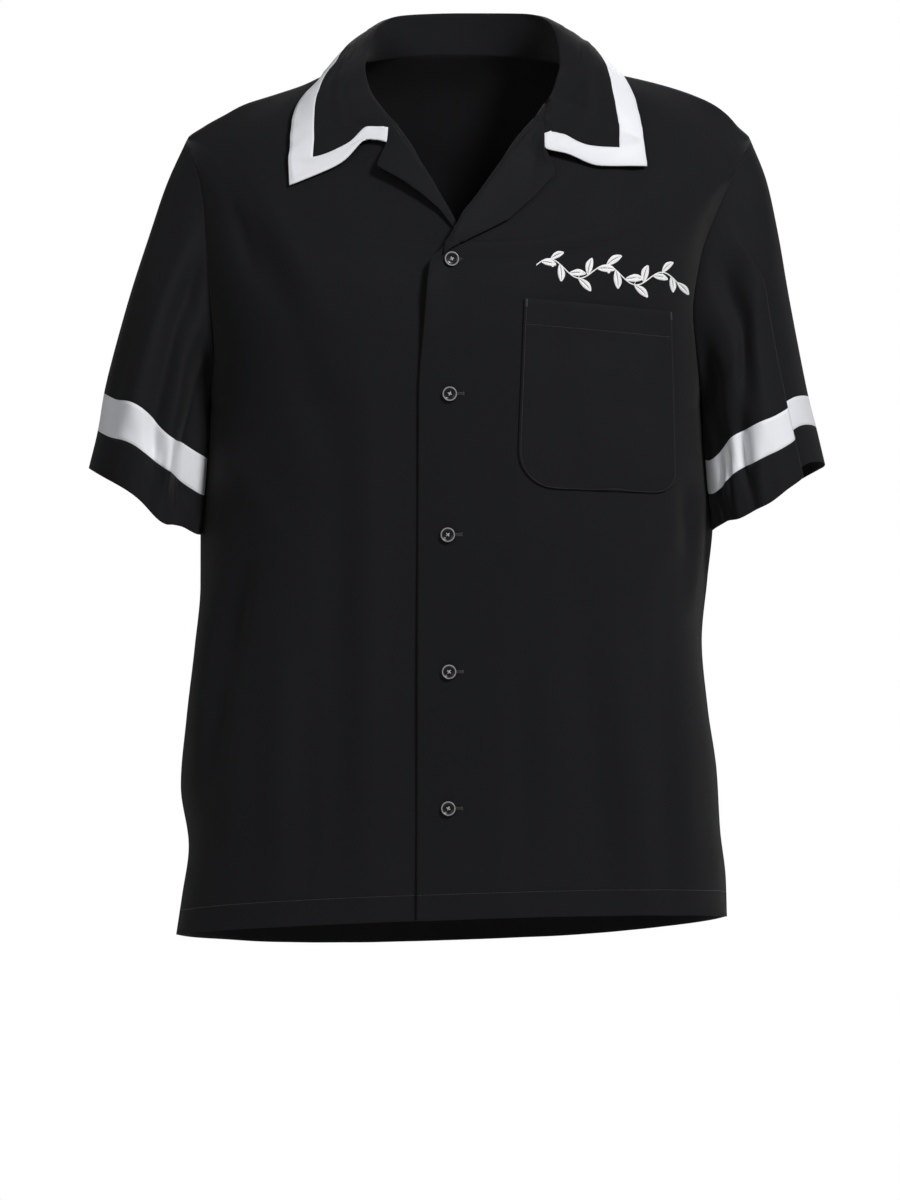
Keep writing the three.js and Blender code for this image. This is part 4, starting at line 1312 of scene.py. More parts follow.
@dataclass
class Sleeve:
    """A short sleeve: its upper part, the white band let in near the hem and the hem piece."""

    form: ShirtForm
    side: Side
    sections: SizeTable
    folds: SizeTable
    waves: SizeTable
    cuts: tuple[FlatCut, FlatCut, FlatCut]
    under: list[BVHTree]
    tuck: Tuck = Tuck()
    columns: int = 190
    parts: SizeTable = table(
        "start end length count",
        (0, 4, 200, 62),
        (4, 5, 33, 11),
        (5, 6, 33, 12),
    )
    back_turn: float = 260.0
    under_from: float = 120.0
    under_to: float = 240.0
    drawn_rows: float = 2.4
    free_rows: float = 2.2
    cloth: float = 1.0
    wave: float = 0.5
    wave_rows: tuple[float, ...] = (1.5, 4.0, 5.0, 6.0)
    degree: float = 1.5
    length: float = 250.0
    gap: float = 2.2

    def wave_rise(self, row: Array, turn: Array) -> Array:
        """How far the cuff's waves lift the cloth, growing towards the hem.

        Args:
            row: place along the sleeve, in sections.
            turn: degrees round it.

        Returns:
            The rise.
        """
        total = np.zeros(np.broadcast(row, turn).shape)
        for centre, width, *amounts in self.waves.rows:
            amount = np.interp(row, self.wave_rows, [0.0, *amounts])
            total = total + amount * bell(turn - centre, width)
        return total

    def size(self, name: str, row: Array) -> Array:
        """One column of the sections, read at any row."""
        keys = np.arange(len(self.sections.rows), dtype=float)
        return smooth_read(keys, self.sections.column(name), row)

    def fold_height(self, turn: Array, along: Array) -> Array:
        """How far the soft folds move the sleeve out.

        Args:
            turn: degrees round the sleeve.
            along: share of its length.

        Returns:
            The heights.
        """
        total = np.zeros(np.broadcast(turn, along).shape)
        for centre, slant, start, end, width, depth in self.folds.rows:
            inside = np.clip((along - start) / 0.2, 0, 1) * np.clip((end - along) / 0.15, 0, 1)
            middle = centre + slant * (along - start)
            total = total + depth * bell(turn - middle, width) * soften(inside)
        return total

    def place(self, row: Array, turn: Array) -> Array:
        """Points of the sleeve's sections, before it is drawn to the armhole.

        Args:
            row: place along the sleeve, in sections.
            turn: degrees round it, zero at the outside, rising over the front.

        Returns:
            The points.
        """
        row, turn = np.broadcast_arrays(row, turn)
        along = row / (len(self.sections.rows) - 1)
        ripple = Ripple(31 + self.side.value, 34.0, 95.0, 2.0)
        waves = ripple.at(turn * self.degree, along * self.length)
        depth = self.fold_height(turn, along) + self.wave * waves
        depth = depth + self.tuck.depth(turn, along)
        climb = self.tuck.climb(turn, along) + self.wave_rise(row, turn)
        angle = np.radians(turn - self.tuck.slide(turn, along))
        half_x = (self.size("outer_x", row) - self.size("inner_x", row)) / 2
        half_z = (self.size("outer_z", row) - self.size("inner_z", row)) / 2
        width = np.hypot(half_x, half_z)
        reach = np.cos(angle) * (width + depth) / width
        x = self.size("inner_x", row) + half_x * (1 + reach)
        y = self.size("mid_y", row) - np.sin(angle) * (self.size("half_depth", row) + depth)
        z = self.size("inner_z", row) + half_z * (1 + reach) + climb
        return np.stack([x * self.side.value, y, z], axis=-1)

    def armhole(self, turn: Array) -> Array:
        """The armhole seam at turns from the shoulder tip, down the front and up the back.

        Args:
            turn: degrees from the shoulder tip.

        Returns:
            Points of the seam.
        """
        middle, half = (self.form.tip + self.form.pit) / 2, (self.form.tip - self.form.pit) / 2
        level = middle + half * np.cos(np.radians(turn))
        seam = np.empty(turn.shape + (3,))
        for face, part in ((Face.FRONT, turn <= 180), (Face.BACK, turn > 180)):
            outer = self.form.outer_turn(face, level[part])
            seam[part] = self.form.place(face, level[part], self.side.value * outer)
        return seam

    def grids(self) -> list[ClothGrid]:
        """The middles of the three pieces, from the armhole down.

        Returns:
            The upper part, the band and the hem piece.
        """
        turn = 360.0 * np.arange(self.columns) / self.columns
        signed = np.where(turn > self.back_turn, turn - 360, turn)[None, :]
        inner = (signed[0] > self.under_from) & (signed[0] < self.under_to)
        seam = self.armhole(turn)[None]
        grids = []
        start_run = 0.0
        for start, end, length, count in self.parts.rows:
            shares = shares_with_rims(count, length, (False, end == self.parts.rows[-1][1]))
            row = lerp(float(start), float(end), shares)[:, None]
            plain = self.place(row, signed)
            hold = (1 - soften(row / self.drawn_rows))[..., None]
            points = plain + (seam - self.place(np.zeros_like(row), signed)) * hold
            gap = np.broadcast_to(self.gap * soften(row / self.free_rows), points.shape[:2])
            points[:, inner] = lift_clear(self.under, points[:, inner], gap[:, inner])
            down = run_lengths(points, 0)
            around = run_lengths(np.concatenate([points, points[:, :1]], axis=1), 1)[:, :-1]
            fields = cloth_fields(around, down + start_run, down)
            grids.append(ClothGrid(points, self.side.value, True, fields))
            start_run += float(down[-1].mean())
        return grids

    def build(self, black: Material, white: Material) -> None:
        """Makes the three pieces.

        Args:
            black: finish of the sleeve.
            white: finish of its band.
        """
        upper, band, hem = self.cuts
        sheets = (Sheet(black, upper), Sheet(white, band, slot="white_trim"), Sheet(black, hem))
        for grid, part, sheet in zip(self.grids(), ("sleeve", "sleeve_band", "sleeve_hem"), sheets):
            sheet.sew(f"{part}_{self.side.word}", grid, self.cloth)


# ---- collar and lapels
def refined(points: Array, down: int, across: int) -> Array:
    """A grid of points with smooth rows put between its own.

    Args:
        points: rows and columns of points.
        down: new rows for each old one.
        across: new columns for each old one.

    Returns:
        The finer grid.
    """
    rows, columns = points.shape[:2]
    at = np.linspace(0, rows - 1, (rows - 1) * down + 1)
    turned = np.swapaxes(smooth_read(np.arange(rows, dtype=float), points, at), 0, 1)
    at = np.linspace(0, columns - 1, (columns - 1) * across + 1)
    return np.swapaxes(smooth_read(np.arange(columns, dtype=float), turned, at), 0, 1)


@dataclass(frozen=True)
class RollFold:
    """The turn of cloth at the roll line, from its seam to the layer that lies above."""

    radius: float = 1.9
    points: int = 5

    def over(self, side: Side, seam: Array, out: Array) -> list[Array]:
        """Points round the fold.

        Args:
            side: the wearer's side.
            seam: the point where the fold starts.
            out: outward direction of the cloth there.

        Returns:
            The points, from the seam up and over.
        """
        inboard = unit(np.array([-side.value, 0.0, 0.6]))
        turns = np.linspace(0.0, math.pi, self.points)
        moves = [inboard * math.sin(t) + out * (1 - math.cos(t)) for t in turns]
        return [seam + self.radius * move for move in moves]


@dataclass
class Collar:
    """The one-piece collar, its stand rolled over into a long fall, edged with a white trim."""

    fronts: dict[Side, ClothGrid]
    back: ClothGrid
    roll: RollFold
    line: SizeTable
    ends: dict[Side, SizeTable]
    bands: dict[Side, SizeTable]
    cuts: tuple[FlatCut, FlatCut]
    lie: float = 2.2
    edge_lift: float = 2.7
    bow: float = 6.0
    bow_ends: float = 0.3
    roll_drop: float = 1.2
    trim: float = 24.0
    clear: float = 0.9
    settle_rounds: int = 24
    fall_fade: float = 22.0
    falls: tuple[float, ...] = (0.25, 0.5, 0.75)
    finer: int = 8
    cloth: float = 1.6
    wave: float = 0.4

    def seam(self) -> Array:
        """The neck seam, from the right gorge round the back to the left gorge."""
        right, left = self.fronts[Side.RIGHT].points[0], self.fronts[Side.LEFT].points[0]
        return np.concatenate([right, self.back.points[0][1:], left[::-1][1:]])

    def under(self) -> list[BVHTree]:
        """The cloth that lies under the collar."""
        return [grid.hit_map() for grid in (*self.fronts.values(), self.back)]

    def place(self, part: str, s: float) -> Array:
        """A point of the roll line or of the edge, round the collar."""
        return np.array([float(self.line.read("around", f"{part}_{axis}", s)) for axis in "xyz"])

    def settled(self, trees: list[BVHTree], point: Array, gap: float, touch: bool = False) -> Array:
        """A point lifted clear of the cloth under it, or set down on it at the same height.

        Args:
            trees: the cloth under it.
            point: the place.
            gap: its height over the cloth.
            touch: whether a higher point is brought down to the gap.

        Returns:
            The settled place.
        """
        p = Vector(point)
        at, out, _, _ = nearest(trees, p)
        height = (p - at).dot(out)
        return np.array(p + out * (gap - height)) if touch or height < gap else point

    def edge_at(self, trees: list[BVHTree], wanted: Array) -> Array:
        """The fall's outer edge, set down on the shoulders at its place across and up.

        Args:
            trees: the cloth under the fall.
            wanted: the table's place.

        Returns:
            The edge's place.
        """
        aim = wanted
        for _ in range(4):
            found = self.settled(trees, aim, self.lie + self.edge_lift, True)
            frontal = float(np.clip((30.0 - found[1]) / 60.0, 0.0, 1.0))
            aim = aim + (wanted - found) * np.array([1.0, 0.0, frontal])
        return found

    def plain_rib(self, trees: list[BVHTree], seam: Array, s: float) -> Array:
        """One rib: up the stand, over the roll and down the fall.

        Args:
            trees: the cloth under the fall.
            seam: where the rib starts.
            s: place round the collar, from -1 to 1.

        Returns:
            The rib's points.
        """
        roll = self.place("roll", s)
        edge = self.edge_at(trees, self.place("edge", s))
        along = self.place("roll", min(s + 0.02, 1)) - self.place("roll", max(s - 0.02, -1))
        down = unit(edge - roll)
        out = unit(np.cross(along, down))
        radius = self.roll.radius
        trim = 1 - self.trim / np.linalg.norm(edge - roll)
        below = roll + down * self.roll_drop * radius
        start, inner = below + out * radius, below - out * radius
        bow = self.bow * lerp(self.bow_ends, 1.0, soften((1 - abs(s)) / 0.4))
        falls = [
            self.settled(trees, lerp(start, edge, t) + out * bow * math.sin(math.pi * t), self.lie)
            for t in (*(share * trim for share in self.falls), trim)
        ]
        return np.array([seam, lerp(seam, inner, 0.5), inner, roll, start, *falls, edge])

    def coarse(self) -> Array:
        """The collar's ribs, with both ends cut to the gorge and the collar points.

        Returns:
            One row of points for each rib.
        """
        seam = self.seam()
        run = run_lengths(seam[None], 1)[0]
        middle = (self.back.points.shape[1] - 1) // 2
        nape = run[len(self.fronts[Side.RIGHT].points[0]) - 1 + middle]
        around = np.where(run < nape, run / nape - 1, (run - nape) / (run[-1] - nape))
        wanted = self.rib_places(run)
        trees = self.under()
        ribs = []
        for r in wanted:
            start = read_line(r, run, seam)
            ribs.append(self.plain_rib(trees, start, float(np.interp(r, run, around))))
        ribs = np.array(ribs)
        for side, end, after in ((Side.RIGHT, 0, 1), (Side.LEFT, -1, -2)):
            grid = self.fronts[side]
            tree = grid.hit_map()
            over = self.roll.over(side, ribs[end][0], grid.normals()[0, 0])
            ribs[end] = [*over, *self.laid(tree, self.ends[side])]
            ribs[after][self.roll.points :] = self.laid(tree, self.bands[side])
        return ribs

    def rib_places(self, run: Array) -> Array:
        """Places of the ribs along the seam: nine for each front and sixteen for the back.

        Args:
            run: distance along the seam at each of its points.

        Returns:
            The places as distances.
        """
        first = run[len(self.fronts[Side.RIGHT].points[0]) - 1]
        last = run[len(self.fronts[Side.RIGHT].points[0]) + self.back.points.shape[1] - 2]
        ends = ((0, first, 10), (first, last, 17), (last, run[-1], 10))
        parts = [np.linspace(*end) for end in ends]
        return np.concatenate([parts[0], parts[1][1:], parts[2][1:]])

    def laid(self, tree: BVHTree, rest: SizeTable) -> Array:
        """The fall's part of a rib, laid over the chest."""
        return lay_on(tree, rest.column("x"), rest.column("z"), rest.column("lift") + self.lie)

    def grid(self) -> ClothGrid:
        """The middle of the whole collar with its soft creases.

        Returns:
            The cloth.
        """
        coarse = self.coarse()
        points = refined(coarse, self.finer, self.finer)
        reach = self.finer * self.roll.points
        points = relaxed(points, -1, self.settle_rounds, slice(reach, None))
        around, down = run_lengths(points, 0), run_lengths(points, 1)
        top = reach - self.finer
        fall = soften((down - down[:, top : top + 1]) / self.fall_fade)
        crease = Ripple(71, 16.0, 60.0, 0.8).at(around, down)
        side = np.minimum(around, around[-1:] - around)
        fields = cloth_fields(around, down, np.minimum(down[:, -1:] - down, side))
        moved = ClothGrid(points, -1, False, fields).moved(self.wave * crease * fall)
        trees = self.under()
        gap = self.cloth / 2 + self.clear
        moved.points[:, reach:] = lift_clear(trees, moved.points[:, reach:], gap)
        return moved

    def build(self, black: Material, white: Material) -> ClothGrid:
        """Makes the collar and its trim and returns the middle of the whole.

        Args:
            black: finish of the collar.
            white: finish of its trim.

        Returns:
            The middle of the whole, which the lapels join.
        """
        grid = self.grid()
        rows, columns = grid.points.shape[:2]
        i, j = np.indices((rows - 1, columns - 1)) // self.finer
        last = (rows - 1) // self.finer - 1
        at_end = (j >= self.roll.points) & ((i == 0) | (i == last))
        is_trim = (j == (columns - 1) // self.finer - 1) | at_end
        fold = ("folded", ("back_cloth",))
        Sheet(black, self.cuts[0], *fold).sew("collar", grid, self.cloth, ~is_trim)
        trim = Sheet(white, self.cuts[1], *fold, "white_trim")
        trim.sew("collar_trim", grid, self.cloth, is_trim)
        return grid


@dataclass
class Lapel:
    """The facing of one front, turned out over the roll and sewn to the collar at the gorge."""

    front: ClothGrid
    side: Side
    levels: Array
    edge: SizeTable
    roll: RollFold
    cut: FlatCut
    lie: float = 2.2
    cloth: float = 1.4
    clear: float = 0.9
    roll_fade: float = 20.0
    thin_roll: float = 0.3
    across: int = 26

    def grid(self, collar_end: Array) -> ClothGrid:
        """The middle of the lapel.

        Args:
            collar_end: the end rib of the collar, which the lapel's top row shares.

        Returns:
            The grid.
        """
        tree = self.front.hit_map()
        out = self.front.normals()[:, 0]
        ribs = []
        shares = np.linspace(0.0, 1.0, self.across + 1)[1:]
        end = self.edge.column("level")[-1]
        for i in np.flatnonzero(self.levels >= end - 0.01):
            level = float(self.levels[i])
            fade = soften((level - end) / self.roll_fade)
            roll = RollFold(self.roll.radius * lerp(self.thin_roll, 1.0, fade), self.roll.points)
            x, z, lift = self.edge_at(level)
            seam = self.front.points[i, 0]
            over = roll.over(self.side, seam, out[i])
            height = lerp(2 * roll.radius, self.lie + lift, shares)
            rest = lay_on(tree, lerp(seam[0], x, shares), lerp(seam[2], z, shares), height)
            ribs.append(np.concatenate([np.array(over), rest]))
        ribs = np.array(ribs)
        self.match_gorge(ribs, collar_end)
        points = ribs.copy()
        reach = slice(self.roll.points, None)
        points[:, reach] = lift_clear([tree], ribs[:, reach], self.cloth / 2 + self.clear)
        across, down = run_lengths(points, 1), run_lengths(points, 0)
        free = np.minimum(across[:, -1:] - across, down[-1:] - down)
        fields = cloth_fields(across, down, np.minimum(free, down))
        return ClothGrid(points, -self.side.value, False, fields)

    def edge_at(self, level: float) -> list[float]:
        """The lapel's cut edge at a level, with sharp corners.

        Args:
            level: of the point.

        Returns:
            Its place across and up, and its lift.
        """
        keys = -self.edge.column("level")
        columns = [self.edge.column(name) for name in ("x", "z", "lift")]
        return [float(np.interp(-level, keys, column)) for column in columns]

    def match_gorge(self, ribs: Array, collar_end: Array, rows: int = 10) -> None:
        """Draws the first rows of the lapel to the end of the collar, so that they meet.

        Args:
            ribs: the lapel's rows, moved in place.
            collar_end: the end rib of the collar.
            rows: over how many rows the pull fades out.
        """
        run = run_lengths(collar_end[None], 1)[0]
        own = run_lengths(ribs[:1], 1)[0]
        share = own / own[-1] * run[-1]
        pull = read_line(share, run, collar_end) - ribs[0]
        for i in range(rows):
            ribs[i] += pull * (1 - soften(i / rows))

    def build(self, collar_end: Array, finish: Material) -> None:
        """Makes the lapel, its top row on the end rib of the collar."""
        sheet = Sheet(finish, self.cut, "folded", (f"front_{self.side.word}_cloth",))
        sheet.sew(f"lapel_{self.side.word}", self.grid(collar_end), self.cloth)


# ---- pocket
@dataclass
class Pocket:
    """The chest pocket, its lower corners rounded and its mouth standing a little open."""

    front: ClothGrid
    cut: FlatCut
    edges: SizeTable = table(
        "top_x top_z low_x low_z radius inward",
        (60, -210, 53.5, -374, 34, 1),
        (188, -220, 192, -377.5, 18, -1),
    )
    pouch: float = 2.0
    mouth: float = 1.6
    mouth_reach: float = 0.16
    wave: float = 0.35
    cells: int = 62
    lie: float = 2.0
    cloth: float = 1.0

    def outline(self, v: Array) -> tuple[Array, Array, Array, Array]:
        """The two side edges at shares of the height, their corners rounded.

        Args:
            v: shares, from 0 at the mouth to 1 at the bottom.

        Returns:
            x and z of the inner edge, then of the outer edge.
        """
        ends = []
        for top_x, top_z, low_x, low_z, radius, inward in self.edges.rows:
            x, z = lerp(top_x, low_x, v), lerp(top_z, low_z, v)
            into = np.clip(1 - (z - low_z) / radius, 0, 1)
            ends += [x + inward * radius * (1 - np.sqrt(1 - into * into)), z]
        return tuple(ends)

    def grid(self) -> ClothGrid:
        """The middle of the pocket's cloth.

        Returns:
            The cloth.
        """
        v = 1 - (1 - np.linspace(0, 1, self.cells + 1)) ** 1.5
        x0, z0, x1, z1 = (part[:, None] for part in self.outline(v))
        u = np.linspace(0, 1, self.cells + 1)[None, :]
        v = v[:, None]
        x, z = lerp(x0, x1, u), lerp(z0, z1, u)
        full = self.pouch * (0.1 + np.sin(math.pi * u) * np.sin(math.pi * v))
        full = full + self.mouth * np.sin(math.pi * u) ** 1.5 * bell(v, self.mouth_reach)
        full = full + self.wave * Ripple(91, 22.0, 70.0, 1.6).at(x, z) * np.sin(math.pi * u)
        points = lay_on(self.front.hit_map(), x, z, self.lie - 0.4 + np.maximum(full, 0.0))
        across, down = run_lengths(points, 1), run_lengths(points, 0)
        edge = np.minimum(np.minimum(across, across[:, -1:] - across), down[-1:] - down)
        fields = cloth_fields(across, down, np.maximum(edge - 1.0, 0.0), down)
        return ClothGrid(points, -1, False, fields)

    def build(self, finish: Material) -> ClothGrid:
        """Makes the pocket and returns the middle of its cloth."""
        sheet = Sheet(finish, self.cut, "laid", ("front_left_cloth",))
        return sheet.sew("pocket", self.grid(), self.cloth)


# ---- threads
@dataclass(frozen=True)
class ThreadShape:
    """How one short thread lies: its steps along its way, its rise at each, and its radius."""

    steps: tuple[float, ...]
    rises: tuple[float, ...]
    radius: float


@dataclass(frozen=True)
class StitchSize:
    """One stitch of a sewn row and the gap after it."""

    length: float = 2.5
    gap: float = 0.7
    radius: float = 0.2
    steps: tuple[float, ...] = (0.0, 0.12, 0.5, 0.88, 1.0)
    rises: tuple[float, ...] = (-0.28, 0.02, 0.1, 0.02, -0.28)


@dataclass
class ThreadWork:
    """Many short threads that are gathered into one mesh."""

    sides: int = 6
    vertices: list[Array] = field(default_factory=list)
    faces: list[Array] = field(default_factory=list)
    runs: list[Array] = field(default_factory=list)
    count: int = 0

    def lay(self, paths: Array, outs: Array, radius: float, flat: float = 0.75) -> None:
        """Adds threads that all have the same number of points.

        Args:
            paths: threads, points and coordinates.
            outs: the cloth's outward direction at each point.
            radius: of the thread, in millimetres.
            flat: its height as a share of its width.
        """
        threads, points = paths.shape[:2]
        ahead = unit(np.gradient(paths, axis=1))
        side = unit(np.cross(ahead, outs))
        up = unit(np.cross(side, ahead))
        taper = np.ones(points)
        taper[[0, -1]] = 0.45
        turn = 2 * math.pi * np.arange(self.sides) / self.sides
        ring = side[:, :, None] * np.cos(turn)[:, None]
        ring = ring + up[:, :, None] * (flat * np.sin(turn))[:, None]
        skin = paths[:, :, None] + ring * (radius * taper)[None, :, None, None]
        run = np.broadcast_to(run_lengths(paths, 1)[:, :, None], skin.shape[:3])
        n, k = np.meshgrid(np.arange(points - 1), np.arange(self.sides), indexing="ij")
        n, k, after = n.ravel(), k.ravel(), (k.ravel() + 1) % self.sides
        low, high = n * self.sides, (n + 1) * self.sides
        quad = [low + k, low + after, high + after, high + k]
        last = (points - 1) * self.sides
        caps = []
        for m in range(1, self.sides - 2, 2):
            caps.append([0, m + 2, m + 1, m])
            caps.append([last, last + m, last + m + 1, last + m + 2])
        faces = np.concatenate([np.stack(quad, axis=1), np.array(caps)])[:, ::-1]
        shift = self.count + np.arange(threads) * points * self.sides
        self.faces.append((faces[None] + shift[:, None, None]).reshape(-1, 4))
        self.vertices.append(skin.reshape(-1, 3))
        self.runs.append(run.reshape(-1))
        self.count += threads * points * self.sides

    def arch(
        self,
        shape: ThreadShape,
        starts: Array,
        way: Array,
        out: Array,
        height: float,
    ) -> None:
        """Lays a short arched thread at each of several places.

        Args:
            shape: of one thread.
            starts: the places.
            way: the threads' direction, as long as one of the shape's steps.
            out: outward direction of the cloth.
            height: of the shape over the places.
        """
        rises = np.array(shape.rises)[:, None] + height
        path = starts[:, None] + way * np.array(shape.steps)[:, None] + out * rises
        self.lay(path, np.broadcast_to(out, path.shape), shape.radius)

    def stitch(self, line: Array, outs: Array, height: float, size: StitchSize) -> None:
        """Sews a row of stitches along a line.

        Args:
            line: points of the line.
            outs: outward directions there.
            height: of the stitches over the line.
            size: of one stitch.
        """
        run = run_lengths(line[None], 1)[0]
        starts = np.arange(size.gap, run[-1] - size.length, size.length + size.gap)
        at = starts[:, None] + np.array(size.steps)[None, :] * size.length
        out = unit(read_line(at, run, outs))
        rise = np.array(size.rises)[:, None] + height
        self.lay(read_line(at, run, line) + out * rise, out, size.radius)

    def build(self, name: str, finish: Material, slot: str) -> None:
        """Makes the mesh of all the threads."""
        parts = [np.concatenate(part) for part in (self.vertices, self.faces, self.runs)]
        dress(new_object(name, *parts[:2], {"run_mm": parts[2]}), finish)


def line_where(
    grid: ClothGrid, name: str, value: float, axis: int
) -> tuple[Array, Array]:
    """The line on a grid where one of its fields has a value.

    Args:
        grid: the cloth.
        name: the field, rising or falling steadily along the axis.
        value: its value on the line.
        axis: 0 to look down each column, 1 to look along each row.

    Returns:
        The points of the line and the outward directions there.
    """
    known = grid.fields[name] if axis == 0 else grid.fields[name].T
    points = grid.points if axis == 0 else np.swapaxes(grid.points, 0, 1)
    normals = grid.normals() if axis == 0 else np.swapaxes(grid.normals(), 0, 1)
    line, outs = [], []
    for j in range(known.shape[1]):
        column = known[:, j]
        order = np.argsort(column)
        place = np.interp(value, column[order], order.astype(float))
        i = int(min(max(math.floor(place), 0), len(column) - 2))
        line.append(lerp(points[i, j], points[i + 1, j], place - i))
        outs.append(normals[i, j])
    return np.array(line), np.array(outs)


@dataclass
class Seams:
    """The rows of black stitching that show: hems, the pocket and its bar tacks."""

    hem: float = 22.0
    cloth: float = 1.0
    pocket_edge: float = 1.8
    body: StitchSize = StitchSize()
    patch: StitchSize = StitchSize(2.1, 0.6, 0.18)
    tack_length: float = 7.0
    tack_pitch: float = 0.42
    tack_reach: float = 0.95
    tack_shape: ThreadShape = ThreadShape(
        (-1.0, -0.7, 0.0, 0.7, 1.0), (-0.1, 0.3, 0.42, 0.3, -0.1), 0.24
    )
    work: ThreadWork = field(default_factory=ThreadWork)

    def hems(self, grids: list[ClothGrid]) -> None:
        """Sews the hems of the body.

        Args:
            grids: the fronts and the back.
        """
        for grid in grids:
            line, outs = line_where(grid, "hem_mm", self.hem, 0)
            self.work.stitch(line, outs, self.cloth / 2, self.body)

    def pocket(self, grid: ClothGrid) -> None:
        """Sews the pocket on along its sides and bottom, and its mouth hem.

        Args:
            grid: the pocket's cloth.
        """
        across, down = grid.fields["weft_mm"], grid.fields["warp_mm"]
        fields = {"left": across, "right": across[:, -1:] - across}
        fields |= {"low": down[-1:] - down, "top": down}
        near = ClothGrid(grid.points, grid.facing, False, fields)
        inner, inner_out = line_where(near, "left", self.pocket_edge, 1)
        outer, outer_out = line_where(near, "right", self.pocket_edge, 1)
        low, low_out = line_where(near, "low", self.pocket_edge, 0)
        keep = slice(0, -3)
        line = np.concatenate([inner[keep], low[3:-3], outer[keep][::-1]])
        outs = np.concatenate([inner_out[keep], low_out[3:-3], outer_out[keep][::-1]])
        self.work.stitch(line, outs, self.cloth / 2, self.patch)
        mouth, mouth_out = line_where(near, "top", self.hem, 0)
        self.work.stitch(mouth[1:-1], mouth_out[1:-1], self.cloth / 2, self.patch)
        for corner, inward in ((inner[0], inner[1] - inner[0]), (outer[0], outer[1] - outer[0])):
            self.tack(corner, unit(inward), inner_out[0])

    def tack(self, corner: Array, down: Array, out: Array) -> None:
        """Sews a bar tack down from a pocket corner.

        Args:
            corner: where it starts.
            down: the way it runs.
            out: outward direction of the cloth.
        """
        starts = corner + down * np.arange(0.4, self.tack_length, self.tack_pitch)[:, None]
        side = unit(np.cross(out, down)) * self.tack_reach
        self.work.arch(self.tack_shape, starts, side, out, self.cloth / 2)

    def build(self, finish: Material) -> None:
        """Makes the stitching."""
        self.work.build("seam_stitching", finish, "black_cloth")


